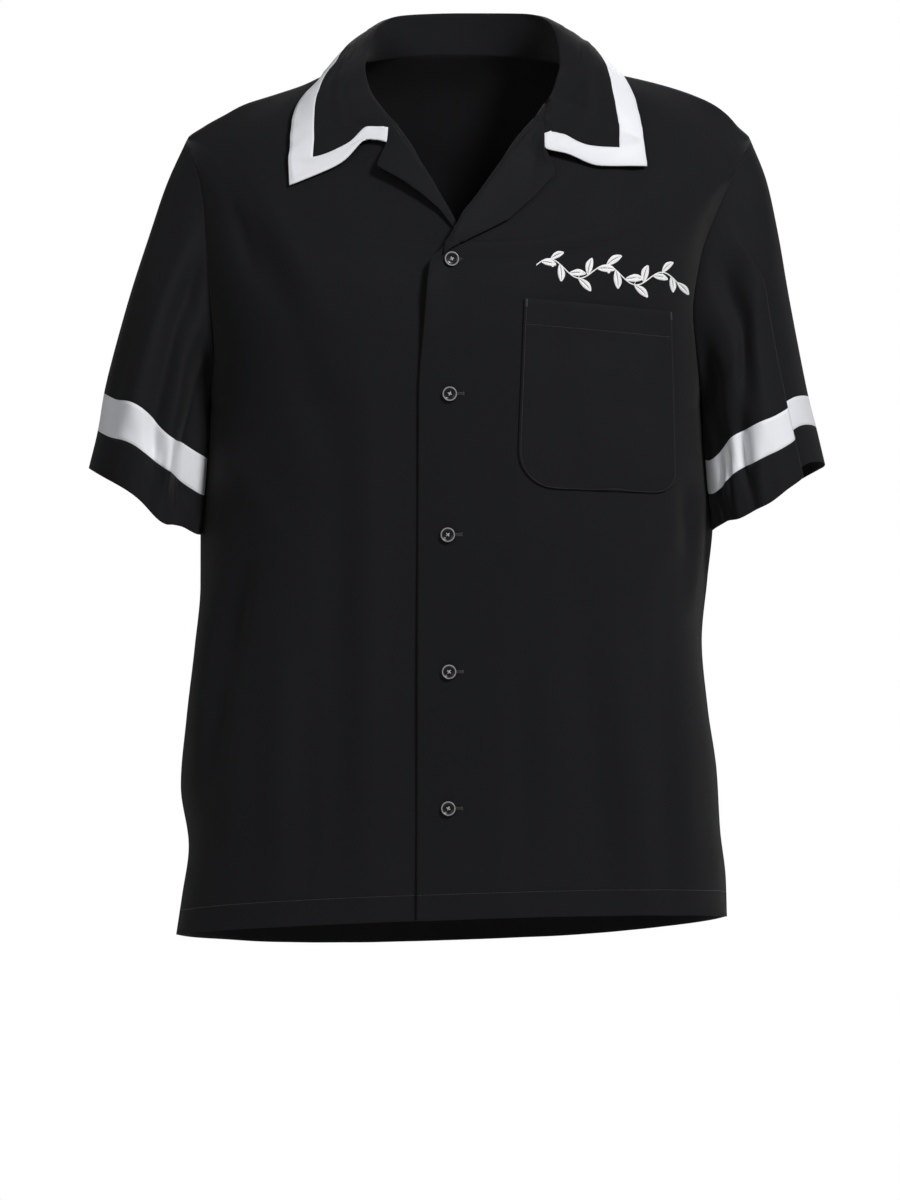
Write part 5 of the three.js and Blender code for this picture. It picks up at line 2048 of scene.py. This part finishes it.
# ---- buttons and their holes
@dataclass
class Buttons:
    """The five four-hole buttons of the front, and the worked buttonholes behind them."""

    front: ClothGrid
    places: SizeTable
    radius: float = 6.35
    rim: float = 1.35
    height: float = 2.6
    dish: float = 1.0
    bevel: float = 0.62
    hole: float = 0.75
    hole_place: float = 1.4625
    segments: int = 56
    drill_sides: int = 20
    rest: float = 0.9
    hole_length: float = 15.5
    hole_offset: float = 4.2
    hole_pitch: float = 0.36
    hole_edge: float = 1.1875
    hole_bar: float = 1.5
    thread_gap: float = 0.224
    thread_layer: float = 0.28
    over: float = 0.45
    edge_shape: ThreadShape = ThreadShape(
        (0.08, 0.25, 0.6, 0.9, 1.0), (-0.05, 0.3, 0.38, 0.25, -0.1), 0.2
    )
    bar_shape: ThreadShape = ThreadShape(
        (-1.0, -0.5, 0.0, 0.5, 1.0), (-0.1, 0.35, 0.45, 0.35, -0.1), 0.22
    )
    tie_shape: ThreadShape = ThreadShape(
        (-1.0, -0.85, -0.4, 0.4, 0.85, 1.0), (-1.2, 0.05, 0.3, 0.3, 0.05, -1.2), 0.2
    )

    def profile(self) -> list[tuple[float, float]]:
        """The button's section, from the middle of its back round to the middle of its face.

        Returns:
            Radius and height of each point.
        """
        r, h, bevel = self.radius, self.height, self.bevel
        bend = [math.pi * n / 10 for n in range(9)]
        rim_top = [(r + bevel * (math.cos(t) - 1), h + bevel * (math.sin(t) - 1)) for t in bend]
        inside, floor = r - self.rim, h - self.dish
        slope = [(inside, h - 0.38), (inside - 0.45, h - 0.75), (inside - 0.95, floor)]
        face = [(2.6, floor - 0.04), (1.9, floor - 0.05), (0.0, floor - 0.05)]
        back = [(0.0, 0.0), (r - 1.8, 0.0), (r - 0.8, 0.25), (r - 0.2, 0.8)]
        return back + rim_top + slope + face

    def blank(self) -> Object:
        """One button in its own place, its face up.

        Returns:
            The object.
        """
        turn = 2 * math.pi * np.arange(self.segments) / self.segments
        vertices, faces, rings = [], [], []
        for r, h in self.profile():
            count = self.segments if r else 1
            rings.append([len(vertices) + k % count for k in range(self.segments)])
            vertices += [(r * math.cos(t), r * math.sin(t), h) for t in turn[:count]]
        for low, high in zip(rings, rings[1:]):
            for k in range(self.segments):
                after = (k + 1) % self.segments
                faces.append(list(dict.fromkeys([low[k], low[after], high[after], high[k]])))
        return new_object("button_blank", np.array(vertices), faces)

    def drilled(self) -> Mesh:
        """The button's mesh with its four holes.

        Returns:
            The mesh, in metres.
        """
        blank = self.blank()
        drills = []
        sides = self.drill_sides
        turn = 2 * math.pi * np.arange(sides) / sides
        low = np.stack([np.cos(turn), np.sin(turn), np.zeros(sides)], axis=1) * self.hole
        walls = [[k, (k + 1) % sides, sides + (k + 1) % sides, sides + k] for k in range(sides)]
        faces = walls + [list(range(sides))[::-1], list(range(sides, 2 * sides))]
        for sx, sy in ((1, 1), (1, -1), (-1, -1), (-1, 1)):
            place = np.array([sx * self.hole_place, sy * self.hole_place, 0.0])
            ends = [low + place + np.array([0.0, 0.0, h]) for h in (-1.0, 4.0)]
            drill = new_object("drill", np.concatenate(ends), faces)
            cut = blank.modifiers.new("hole", "BOOLEAN")
            cut.operation, cut.solver, cut.object = "DIFFERENCE", "EXACT", drill
            drills.append(drill)
        graph = bpy.context.evaluated_depsgraph_get()
        mesh = bpy.data.meshes.new_from_object(blank.evaluated_get(graph))
        for item in (blank, *drills):
            bpy.data.objects.remove(item)
        return mesh

    def seat(self, x: float, z: float) -> tuple[Array, Array, Array, Array]:
        """Where a button sits: the place, outward, across and up.

        Args:
            x: place across.
            z: place up.

        Returns:
            The place and three directions.
        """
        at, out = (np.array(part) for part in seen_from_front(self.front.hit_map(), x, z))
        across = unit(np.array([1.0, 0.0, 0.0]) - out * out[0])
        return at, out, across, np.cross(across, out)

    def build(self, finishes: Finishes) -> None:
        """Makes the buttons, their threads and the buttonholes.

        Args:
            finishes: the shirt's finishes.
        """
        mesh = self.drilled()
        plain = np.array([v.co for v in mesh.vertices]) / MM
        faces = [list(p.vertices) for p in mesh.polygons]
        bpy.data.meshes.remove(mesh)
        draw = np.random.default_rng(17)
        tied, worked = ThreadWork(), ThreadWork()
        for n, (x, z) in enumerate(self.places.rows):
            at, out, across, up = self.seat(x, z)
            twist = draw.uniform(-0.5, 0.5)
            a = across * math.cos(twist) + up * math.sin(twist)
            b = np.cross(out, a)
            placed = at + out * self.rest + plain @ np.stack([a, b, out])
            # where the painted highlight goes: the top of the rim
            rim = bell(np.hypot(plain[:, 0], plain[:, 1]) - self.radius + 0.6, 0.5)
            rim = rim * (plain[:, 2] > self.height - 0.7)
            piece = new_object(f"button_{n + 1}_polished", placed, faces, {"rim": rim})
            dress(piece, finishes.button, (f"button_{n + 1}",))
            self.tie(tied, at + out * self.rest, out, a, b)
            self.work_hole(worked, at, out, across, up)
        tied.build("button_threads", finishes.tying, "button")
        worked.build("buttonholes", finishes.sewing, "black_cloth")

    def tie(self, work: ThreadWork, at: Array, out: Array, a: Array, b: Array) -> None:
        """Lays the crossed threads through the four holes.

        Args:
            work: gathers the threads.
            at: the button's place.
            out: the way its face looks.
            a: across the button.
            b: up the button.
        """
        for lift, (da, db) in enumerate(((1, 1), (1, -1))):
            way = (a * da + b * db) * self.hole_place
            height = self.height - self.dish + self.thread_layer * lift
            starts = at + (a * -db + b * da) * self.thread_gap * np.array([[-1.0], [0.0], [1.0]])
            work.arch(self.tie_shape, starts, way, out, height)

    def work_hole(self, work: ThreadWork, at: Array, out: Array, across: Array, up: Array) -> None:
        """Works a buttonhole: two rows of close stitches and a bar at each end.

        Args:
            work: gathers the threads.
            at: the button's place.
            out: outward direction of the cloth.
            across: along the hole.
            up: across the hole.
        """
        half = self.hole_length / 2
        along = np.arange(-half, half, self.hole_pitch) + self.hole_offset
        starts = at + across * along[:, None]
        for way in (-1, 1):
            work.arch(self.edge_shape, starts, up * (way * self.hole_edge), out, self.over)
        ends = along[[0, -1], None]
        for step in (-0.3, 0.1, 0.5):
            starts = at + across * (ends + step * np.array([[-1.0], [1.0]]))
            work.arch(self.bar_shape, starts, up * self.hole_bar, out, self.over)


# ---- embroidery
@dataclass
class LeafSpray:
    """A plain white spray of leaves and berries in satin stitch over the pocket."""

    front: ClothGrid
    start: tuple[float, float] = (70.0, -181.0)
    end: tuple[float, float] = (193.0, -194.0)
    sway: float = 7.0
    waves: float = 2.5
    leaves: int = 15
    leaf_length: float = 15.5
    leaf_width: float = 3.3
    pitch: float = 0.42
    thread: float = 0.33
    height: float = 0.75
    over: float = 0.25
    stem_pitch: float = 0.0042
    stem_stroke: float = 0.011
    stem_width: float = 0.42
    berry_radius: float = 1.5
    profile: tuple[float, ...] = (0.0, 0.78, 1.0, 0.78, 0.0)
    slant: float = 0.55
    rib_bow: float = 0.9
    rib_gap: float = 0.12
    leaf_turn: float = 0.72
    leaf_stray: float = 0.1
    end_leaf: float = 0.95
    stalk: tuple[float, float] = (2.2, 5.4)
    paths: list[Array] = field(default_factory=list)

    def stem(self, t: Array) -> Array:
        """Points of the stem, across and up, at shares of its length.

        Args:
            t: shares of the length.

        Returns:
            One point for each.
        """
        x = lerp(self.start[0], self.end[0], t)
        z = lerp(self.start[1], self.end[1], t) + self.sway * np.sin(2 * math.pi * self.waves * t)
        return np.stack([x, z], axis=-1)

    def stroke(self, ends: Array) -> None:
        """Lays one thread between two places across and up."""
        share = np.array([0.0, 0.15, 0.5, 0.85, 1.0])[:, None]
        self.paths.append(lerp(ends[0], ends[1], share))

    def leaf(self, root: Array, angle: float, size: float) -> None:
        """Fills a pointed leaf with threads that slant out from its rib.

        Args:
            root: where it leaves the stem.
            angle: of its rib, in radians.
            size: as a share of the largest.
        """
        axis = np.array([math.cos(angle), math.sin(angle)])
        side = np.array([-axis[1], axis[0]])
        length, width = self.leaf_length * size, self.leaf_width * size
        for s in np.arange(0.6, length - 0.4, self.pitch):
            share = s / length
            half = width * math.sin(math.pi * share**0.8) ** 0.85
            rib = root + axis * s + side * self.rib_bow * math.sin(math.pi * share)
            for way in (-1, 1):
                tip = rib + side * way * half + axis * (self.slant * half + 0.25)
                self.stroke(np.array([rib + side * way * self.rib_gap, tip]))

    def berry(self, centre: Array, radius: float) -> None:
        """Fills a round berry with level threads.

        Args:
            centre: its middle.
            radius: in millimetres.
        """
        for v in np.arange(-radius + 0.2, radius, self.pitch):
            half = math.sqrt(max(radius * radius - v * v, 0.01))
            self.stroke(centre + np.array([[-half, v - 0.25], [half, v + 0.25]]))

    def draw(self) -> None:
        """Sets out the whole spray."""
        for t in np.arange(0.0, 1.0, self.stem_pitch):
            a, b = self.stem(np.array([t, t + self.stem_stroke]))
            lean = unit(b - a)
            off = np.array([-lean[1], lean[0]]) * self.stem_width
            self.stroke(np.array([a - off, b + off]))
        draw = np.random.default_rng(23)
        for n in range(self.leaves):
            t = (n + 0.55) / (self.leaves + 0.2)
            root, ahead = self.stem(np.array([t, t + 0.01]))
            run = unit(ahead - root)
            way = 1 if n % 2 else -1
            stray = draw.uniform(-self.leaf_stray, self.leaf_stray)
            angle = math.atan2(run[1], run[0]) + way * (self.leaf_turn + stray)
            self.leaf(root, angle, 0.82 + 0.22 * math.sin(math.pi * t) + draw.uniform(-0.06, 0.06))
            if n % 3 == 1:
                stalk = root + np.array([self.stalk[0], -way * self.stalk[1]])
                self.stroke(np.array([root, stalk]))
                self.berry(stalk, self.berry_radius)
        root, ahead = self.stem(np.array([0.99, 1.0]))
        self.leaf(ahead, math.atan2(*(ahead - root)[::-1]), self.end_leaf)

    def build(self, finish: Material) -> None:
        """Lays the spray on the front and makes its threads.

        Args:
            finish: of the threads.
        """
        self.draw()
        flat = np.array(self.paths)
        tree = self.front.hit_map()
        rise = np.array(self.profile) * self.height + self.over
        path = lay_on(tree, flat[..., 0], flat[..., 1], np.broadcast_to(rise, flat.shape[:2]))
        base = lay_on(tree, flat[..., 0], flat[..., 1], np.zeros(flat.shape[:2]))
        work = ThreadWork()
        work.lay(path, unit(path - base + np.array([0.0, -0.05, 0.0])), self.thread, 0.9)
        work.build("leaf_spray_embroidery", finish, "white_trim")


# ---- studio
@dataclass(frozen=True)
class SoftLight:
    """One soft area light, aimed at the middle of the shirt."""

    name: str
    place: tuple[float, float, float]
    power: float
    width: float
    height: float
    target: tuple[float, float, float] = (0.0, 0.0, -0.40)

    def build(self) -> None:
        """Adds the light."""
        lamp = bpy.data.lights.new(self.name, "AREA")
        lamp.shape, lamp.size, lamp.size_y = "RECTANGLE", self.width, self.height
        lamp.energy = self.power
        item = bpy.data.objects.new(self.name, lamp)
        bpy.context.collection.objects.link(item)
        item.location = self.place
        aim = Vector(self.target) - Vector(self.place)
        item.rotation_euler = aim.to_track_quat("-Z", "Y").to_euler()


@dataclass(frozen=True)
class Studio:
    """The camera, the pale floor, the white surround and the soft lights."""

    distance: float = 8.0
    aim_x: float = -0.0044
    aim_z: float = -0.471
    plane: float = -0.08
    frame_height: float = 1.046
    sensor: float = 36.0
    floor_z: float = -1.35
    floor_radius: float = 1.9
    ambient: float = 0.2
    lights: tuple[SoftLight, ...] = (
        SoftLight("key_softbox", (1.7, -2.3, 1.7), 110.0, 0.7, 0.7),
        SoftLight("fill_softbox", (-1.9, -2.6, 0.9), 24.0, 2.2, 2.2),
        SoftLight("back_softbox", (0.4, 3.0, 2.0), 70.0, 2.4, 1.6),
    )

    def camera(self) -> None:
        """Adds the camera, level with the shirt and straight in front of it."""
        lens = bpy.data.cameras.new("camera")
        lens.sensor_width = self.sensor
        lens.lens = self.sensor * (self.distance + self.plane) / self.frame_height
        lens.clip_start, lens.clip_end = 0.1, 40.0
        item = bpy.data.objects.new("camera", lens)
        item.location = (self.aim_x, -self.distance, self.aim_z)
        item.rotation_euler = (math.radians(90), 0, 0)
        bpy.context.collection.objects.link(item)
        bpy.context.scene.camera = item
        bpy.context.scene.view_settings.view_transform = "Standard"

    def surround(self) -> None:
        """Makes the surround white to look at, and a soft even light."""
        desk = NodeDesk(bpy.data.worlds.new("studio"), "ShaderNodeOutputWorld")
        rays = desk.add("ShaderNodeLightPath").outputs["Is Camera Ray"]
        seen = desk.add("ShaderNodeBackground", {"Color": (1.0, 1.0, 1.0, 1.0)})
        cool = {"Color": (0.97, 0.98, 1.0, 1.0), "Strength": self.ambient}
        light = desk.add("ShaderNodeBackground", cool)
        ends = {0: rays, 1: light.outputs[0], 2: seen.outputs[0]}
        desk.show(desk.add("ShaderNodeMixShader", ends))
        bpy.context.scene.world = desk.owner

    def floor(self) -> None:
        """Lays the round pale floor far under the hem."""
        turn = 2 * math.pi * np.arange(96) / 96
        rim = np.stack([np.cos(turn), np.sin(turn), np.zeros(96)], axis=1) * self.floor_radius / MM
        item = new_object("studio_floor", rim, [list(range(96))])
        item.location = (0.0, 0.0, self.floor_z)
        item.data.materials.append(StudioFinish("studio_floor").material())

    def build(self) -> None:
        """Sets up the whole studio."""
        self.surround()
        self.floor()
        for light in self.lights:
            light.build()


# ---- the waiter shirt
SECTION_COLUMNS = "outer_x outer_z inner_x inner_z mid_y half_depth"
SLEEVE_FOLD_COLUMNS = "turn slant from to width depth"
WAVE_COLUMNS = "turn width band_top band_bottom hem"
EDGE_COLUMNS = "level x z lift"
REST_COLUMNS = "x z lift"


@dataclass(frozen=True)
class ShirtSizes:
    """The tables of the sewn-on pieces, and the flat sizes of every cut sheet."""

    cell: float = 3.2
    right_sections: SizeTable = table(
        SECTION_COLUMNS,
        (236, -66, 217, -302, 6, 57),
        (253, -104, 216, -309, 4, 61),
        (269, -152, 215, -318, 0, 65),
        (287, -208, 214, -330, -3, 68),
        (308.5, -289, 216, -346, -6, 70),
        (314, -322, 219, -379, -7, 71),
        (321.5, -355, 223.5, -413, -8, 72),
    )
    left_sections: SizeTable = table(
        SECTION_COLUMNS,
        (260, -66, 218, -302, 6, 57),
        (274, -102, 217, -309, 4, 61),
        (284, -148, 216, -318, 0, 65),
        (294, -206, 215, -330, -3, 68),
        (311, -293, 218, -346, -6, 70),
        (318, -321, 221, -376, -7, 71),
        (325.5, -353, 226.5, -409, -8, 72),
    )
    right_waves: SizeTable = table(
        WAVE_COLUMNS,
        (73, 22, 7.5, 6.5, 1),
        (110, 18, -3, 2, -9),
        (150, 20, -2, -2, -2),
    )
    left_waves: SizeTable = table(
        WAVE_COLUMNS,
        (92, 16, 3, 2, -4),
        (118, 14, 4, 3, -3),
        (150, 16, -6, -5, 2),
    )
    right_folds: SizeTable = table(
        SLEEVE_FOLD_COLUMNS,
        (82, 12, 0.02, 0.9, 9, -7),
        (66, 4, 0.0, 0.8, 9, 3.4),
        (103, 6, 0.0, 0.95, 8, 4),
        (128, 6, 0.03, 1.0, 14, -13),
        (58, 6, 0.3, 1.1, 12, 2.5),
        (96, 0, 0.6, 1.12, 6, -2.6),
        (122, 0, 0.6, 1.12, 5, -2.6),
        (76, 0, 0.8, 1.2, 6, 1.6),
        (144, 6, 0.85, 1.1, 9, -2),
        (103, 0, 0.62, 0.98, 2.6, -1.8),
        (110, -3, 0.6, 0.96, 2.6, 1.6),
        (117, -4, 0.6, 1.0, 2.6, -2),
        (38, 4, 0.1, 0.9, 12, -1.6),
        (250, 0, 0.1, 1.1, 20, -4),
        (215, 8, 0.2, 1.1, 14, 3),
    )
    left_folds: SizeTable = table(
        SLEEVE_FOLD_COLUMNS,
        (77, 32, 0.05, 0.64, 10, -9),
        (101, 36, 0.48, 0.95, 9, -7),
        (126, 8, 0.04, 0.9, 14, -8),
        (64, 40, 0.15, 1.1, 9, 2.4),
        (112, 30, 0.15, 1.1, 9, 3),
        (148, 4, 0.85, 1.12, 6, -2),
        (113, -9, 0.6, 0.98, 2.6, -2.6),
        (120, -8, 0.58, 0.96, 2.2, 2.0),
        (129, -8, 0.6, 1.0, 2.6, -2.8),
        (135, -6, 0.62, 0.95, 2.2, 2.0),
        (142, -5, 0.6, 0.98, 2.6, -2.2),
        (107, 0, 0.6, 1.12, 5, -3),
        (124, -3, 0.62, 1.12, 5, 3),
        (136, 0, 0.66, 1.12, 4, -2),
        (88, 0, 0.66, 1.12, 6, -1.5),
        (255, 0, 0.1, 1.1, 20, -4),
        (220, 6, 0.2, 1.1, 14, 3),
    )
    collar_line: SizeTable = table(
        "around roll_x roll_y roll_z edge_x edge_y edge_z",
        (-1, -54, -71, -54, -144.5, -84, -92),
        (-0.86, -66, -60, -39, -144.2, -78, -72),
        (-0.7, -75, -46, -24, -143, -64, -50),
        (-0.54, -79.5, -30, -4, -136.5, -44, -30),
        (-0.4, -76.5, -8, 15, -119, -12, -14),
        (-0.28, -67, 20, 36, -101, 26, -8),
        (-0.14, -48, 52, 46, -76, 72, -10),
        (0, 4, 64, 49, 4, 94, -14),
        (0.14, 56, 52, 48, 90, 72, -8),
        (0.28, 79, 20, 42, 130, 26, -4),
        (0.4, 90, -8, 23, 147, -10, -9),
        (0.54, 92.5, -28, 1, 156, -44, -22),
        (0.7, 89, -40, -16, 160.5, -62, -42),
        (0.86, 85, -48, -28, 163.5, -74, -60),
        (1, 81, -52, -34, 166.5, -80, -78),
    )
    right_end: SizeTable = table(
        REST_COLUMNS,
        (-57.2, -61.5, 3),
        (-57.6, -74.5, 3),
        (-74.5, -71.3, 4),
        (-99, -92, 2.5),
        (-143.3, -110.8, 1.6),
    )
    right_band: SizeTable = table(
        REST_COLUMNS,
        (-61, -61, 4),
        (-74.5, -61.4, 4.5),
        (-92, -75.5, 3.5),
        (-123, -87.5, 2.2),
        (-144, -88, 2.2),
    )
    left_end: SizeTable = table(
        REST_COLUMNS,
        (76.8, -67.3, 4),
        (77.4, -79.5, 5),
        (97, -86, 6.5),
        (127, -94, 2.8),
        (167.2, -94.4, 2),
    )
    left_band: SizeTable = table(
        REST_COLUMNS,
        (82, -65.4, 4.5),
        (95, -69, 5),
        (112, -77, 3.5),
        (142.4, -78.4, 2.4),
        (163.6, -74, 2.4),
    )
    right_lapel: SizeTable = table(
        EDGE_COLUMNS,
        (0, -57.6, -74.5, 3),
        (-2, -67, -96.5, 8),
        (-6, -43, -109.5, 6.5),
        (-13, -28, -120, 5),
        (-23, -14, -132, 3),
        (-35, -3.5, -145.6, 1),
        (-50, 5, -157, 0.2),
    )
    left_lapel: SizeTable = table(
        EDGE_COLUMNS,
        (0, 77.4, -79.5, 5),
        (-2, 87, -101.5, 3),
        (-6, 67, -123, 2),
        (-13, 46, -141.5, 1.6),
        (-23, 26, -151.5, 1.4),
        (-35, 9.5, -159, 1.4),
        (-50, -3, -165.5, 1.2),
        (-66, -10, -171, 1.0),
    )
    buttons: SizeTable = table(
        "x z",
        (-3.2, -175.6),
        (-4.6, -292.3),
        (-6.3, -414.4),
        (-5.2, -533.2),
        (-5.8, -651.8),
    )
    front_cut: FlatCut = FlatCut(0.33, 0.78, 0.222)
    back_cut: FlatCut = FlatCut(0.60, 0.81, 0.416)
    sleeve_cut: FlatCut = FlatCut(0.46, 0.22, 0.058)
    band_cut: FlatCut = FlatCut(0.39, 0.033)
    hem_cut: FlatCut = FlatCut(0.395, 0.035)
    collar_cut: FlatCut = FlatCut(0.45, 0.095, 0.037)
    trim_cut: FlatCut = FlatCut(0.72, 0.025)
    right_lapel_cut: FlatCut = FlatCut(0.075, 0.11, 0.0034)
    left_lapel_cut: FlatCut = FlatCut(0.1, 0.13, 0.0063)
    pocket_cut: FlatCut = FlatCut(0.138, 0.166, 0.0222)


def build_sleeves(
    form: ShirtForm, sizes: ShirtSizes, body: list[ClothGrid], finishes: Finishes
) -> None:
    """Makes both sleeves.

    Args:
        form: the body that the sleeves are sewn to.
        sizes: the tables.
        body: the fronts and the back, which the sleeves hang clear of.
        finishes: the shirt's finishes.
    """
    cuts = (sizes.sleeve_cut, sizes.band_cut, sizes.hem_cut)
    under = [grid.hit_map() for grid in body]
    right = (sizes.right_sections, sizes.right_folds, sizes.right_waves)
    left = (sizes.left_sections, sizes.left_folds, sizes.left_waves)
    tuck = Tuck(60.0, 15.0, 0.75, 2.2, 5.0, 12.0)
    for sleeve in (
        Sleeve(form, Side.RIGHT, *right, cuts, under),
        Sleeve(form, Side.LEFT, *left, cuts, under, tuck),
    ):
        sleeve.build(finishes.black, finishes.white)


def main() -> None:
    """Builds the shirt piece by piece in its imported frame."""
    logging.basicConfig(level=logging.INFO, format="%(name)s: %(message)s")
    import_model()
    studio = Studio()
    studio.camera()
    form, folds, sizes = ShirtForm(), BodyFolds(), ShirtSizes()
    finishes = Finishes.made()
    levels = form.levels(sizes.cell)
    fronts = {}
    for side in Side:
        panel = FrontPanel(form, folds, side, levels, sizes.front_cut)
        fronts[side] = panel.build(finishes.black)
    LOG.info("fronts: %d rows each", len(levels))
    back = BackPanel(form, folds, levels, sizes.back_cut).build(finishes.black)
    LOG.info("back")
    build_sleeves(form, sizes, [*fronts.values(), back], finishes)
    LOG.info("sleeves")
    roll = RollFold()
    ends = {Side.RIGHT: sizes.right_end, Side.LEFT: sizes.left_end}
    bands = {Side.RIGHT: sizes.right_band, Side.LEFT: sizes.left_band}
    cuts = (sizes.collar_cut, sizes.trim_cut)
    collar = Collar(fronts, back, roll, sizes.collar_line, ends, bands, cuts)
    whole = collar.build(finishes.black, finishes.white)
    LOG.info("collar and trim")
    gorge = collar.finer * (roll.points + 1) + 1
    for side, edge, row, cut in (
        (Side.RIGHT, sizes.right_lapel, 0, sizes.right_lapel_cut),
        (Side.LEFT, sizes.left_lapel, -1, sizes.left_lapel_cut),
    ):
        lapel = Lapel(fronts[side], side, levels, edge, roll, cut)
        lapel.build(whole.points[row, :gorge], finishes.black)
    LOG.info("lapels")
    pocket = Pocket(fronts[Side.LEFT], sizes.pocket_cut).build(finishes.black)
    LOG.info("pocket")
    Buttons(fronts[Side.LEFT], sizes.buttons).build(finishes)
    LOG.info("buttons and buttonholes")
    LeafSpray(fronts[Side.LEFT]).build(finishes.embroidery)
    LOG.info("embroidery")
    seams = Seams()
    seams.hems([*fronts.values(), back])
    seams.pocket(pocket)
    seams.build(finishes.sewing)
    LOG.info("stitching")
    studio.build()


if __name__ == "__main__":
    main()
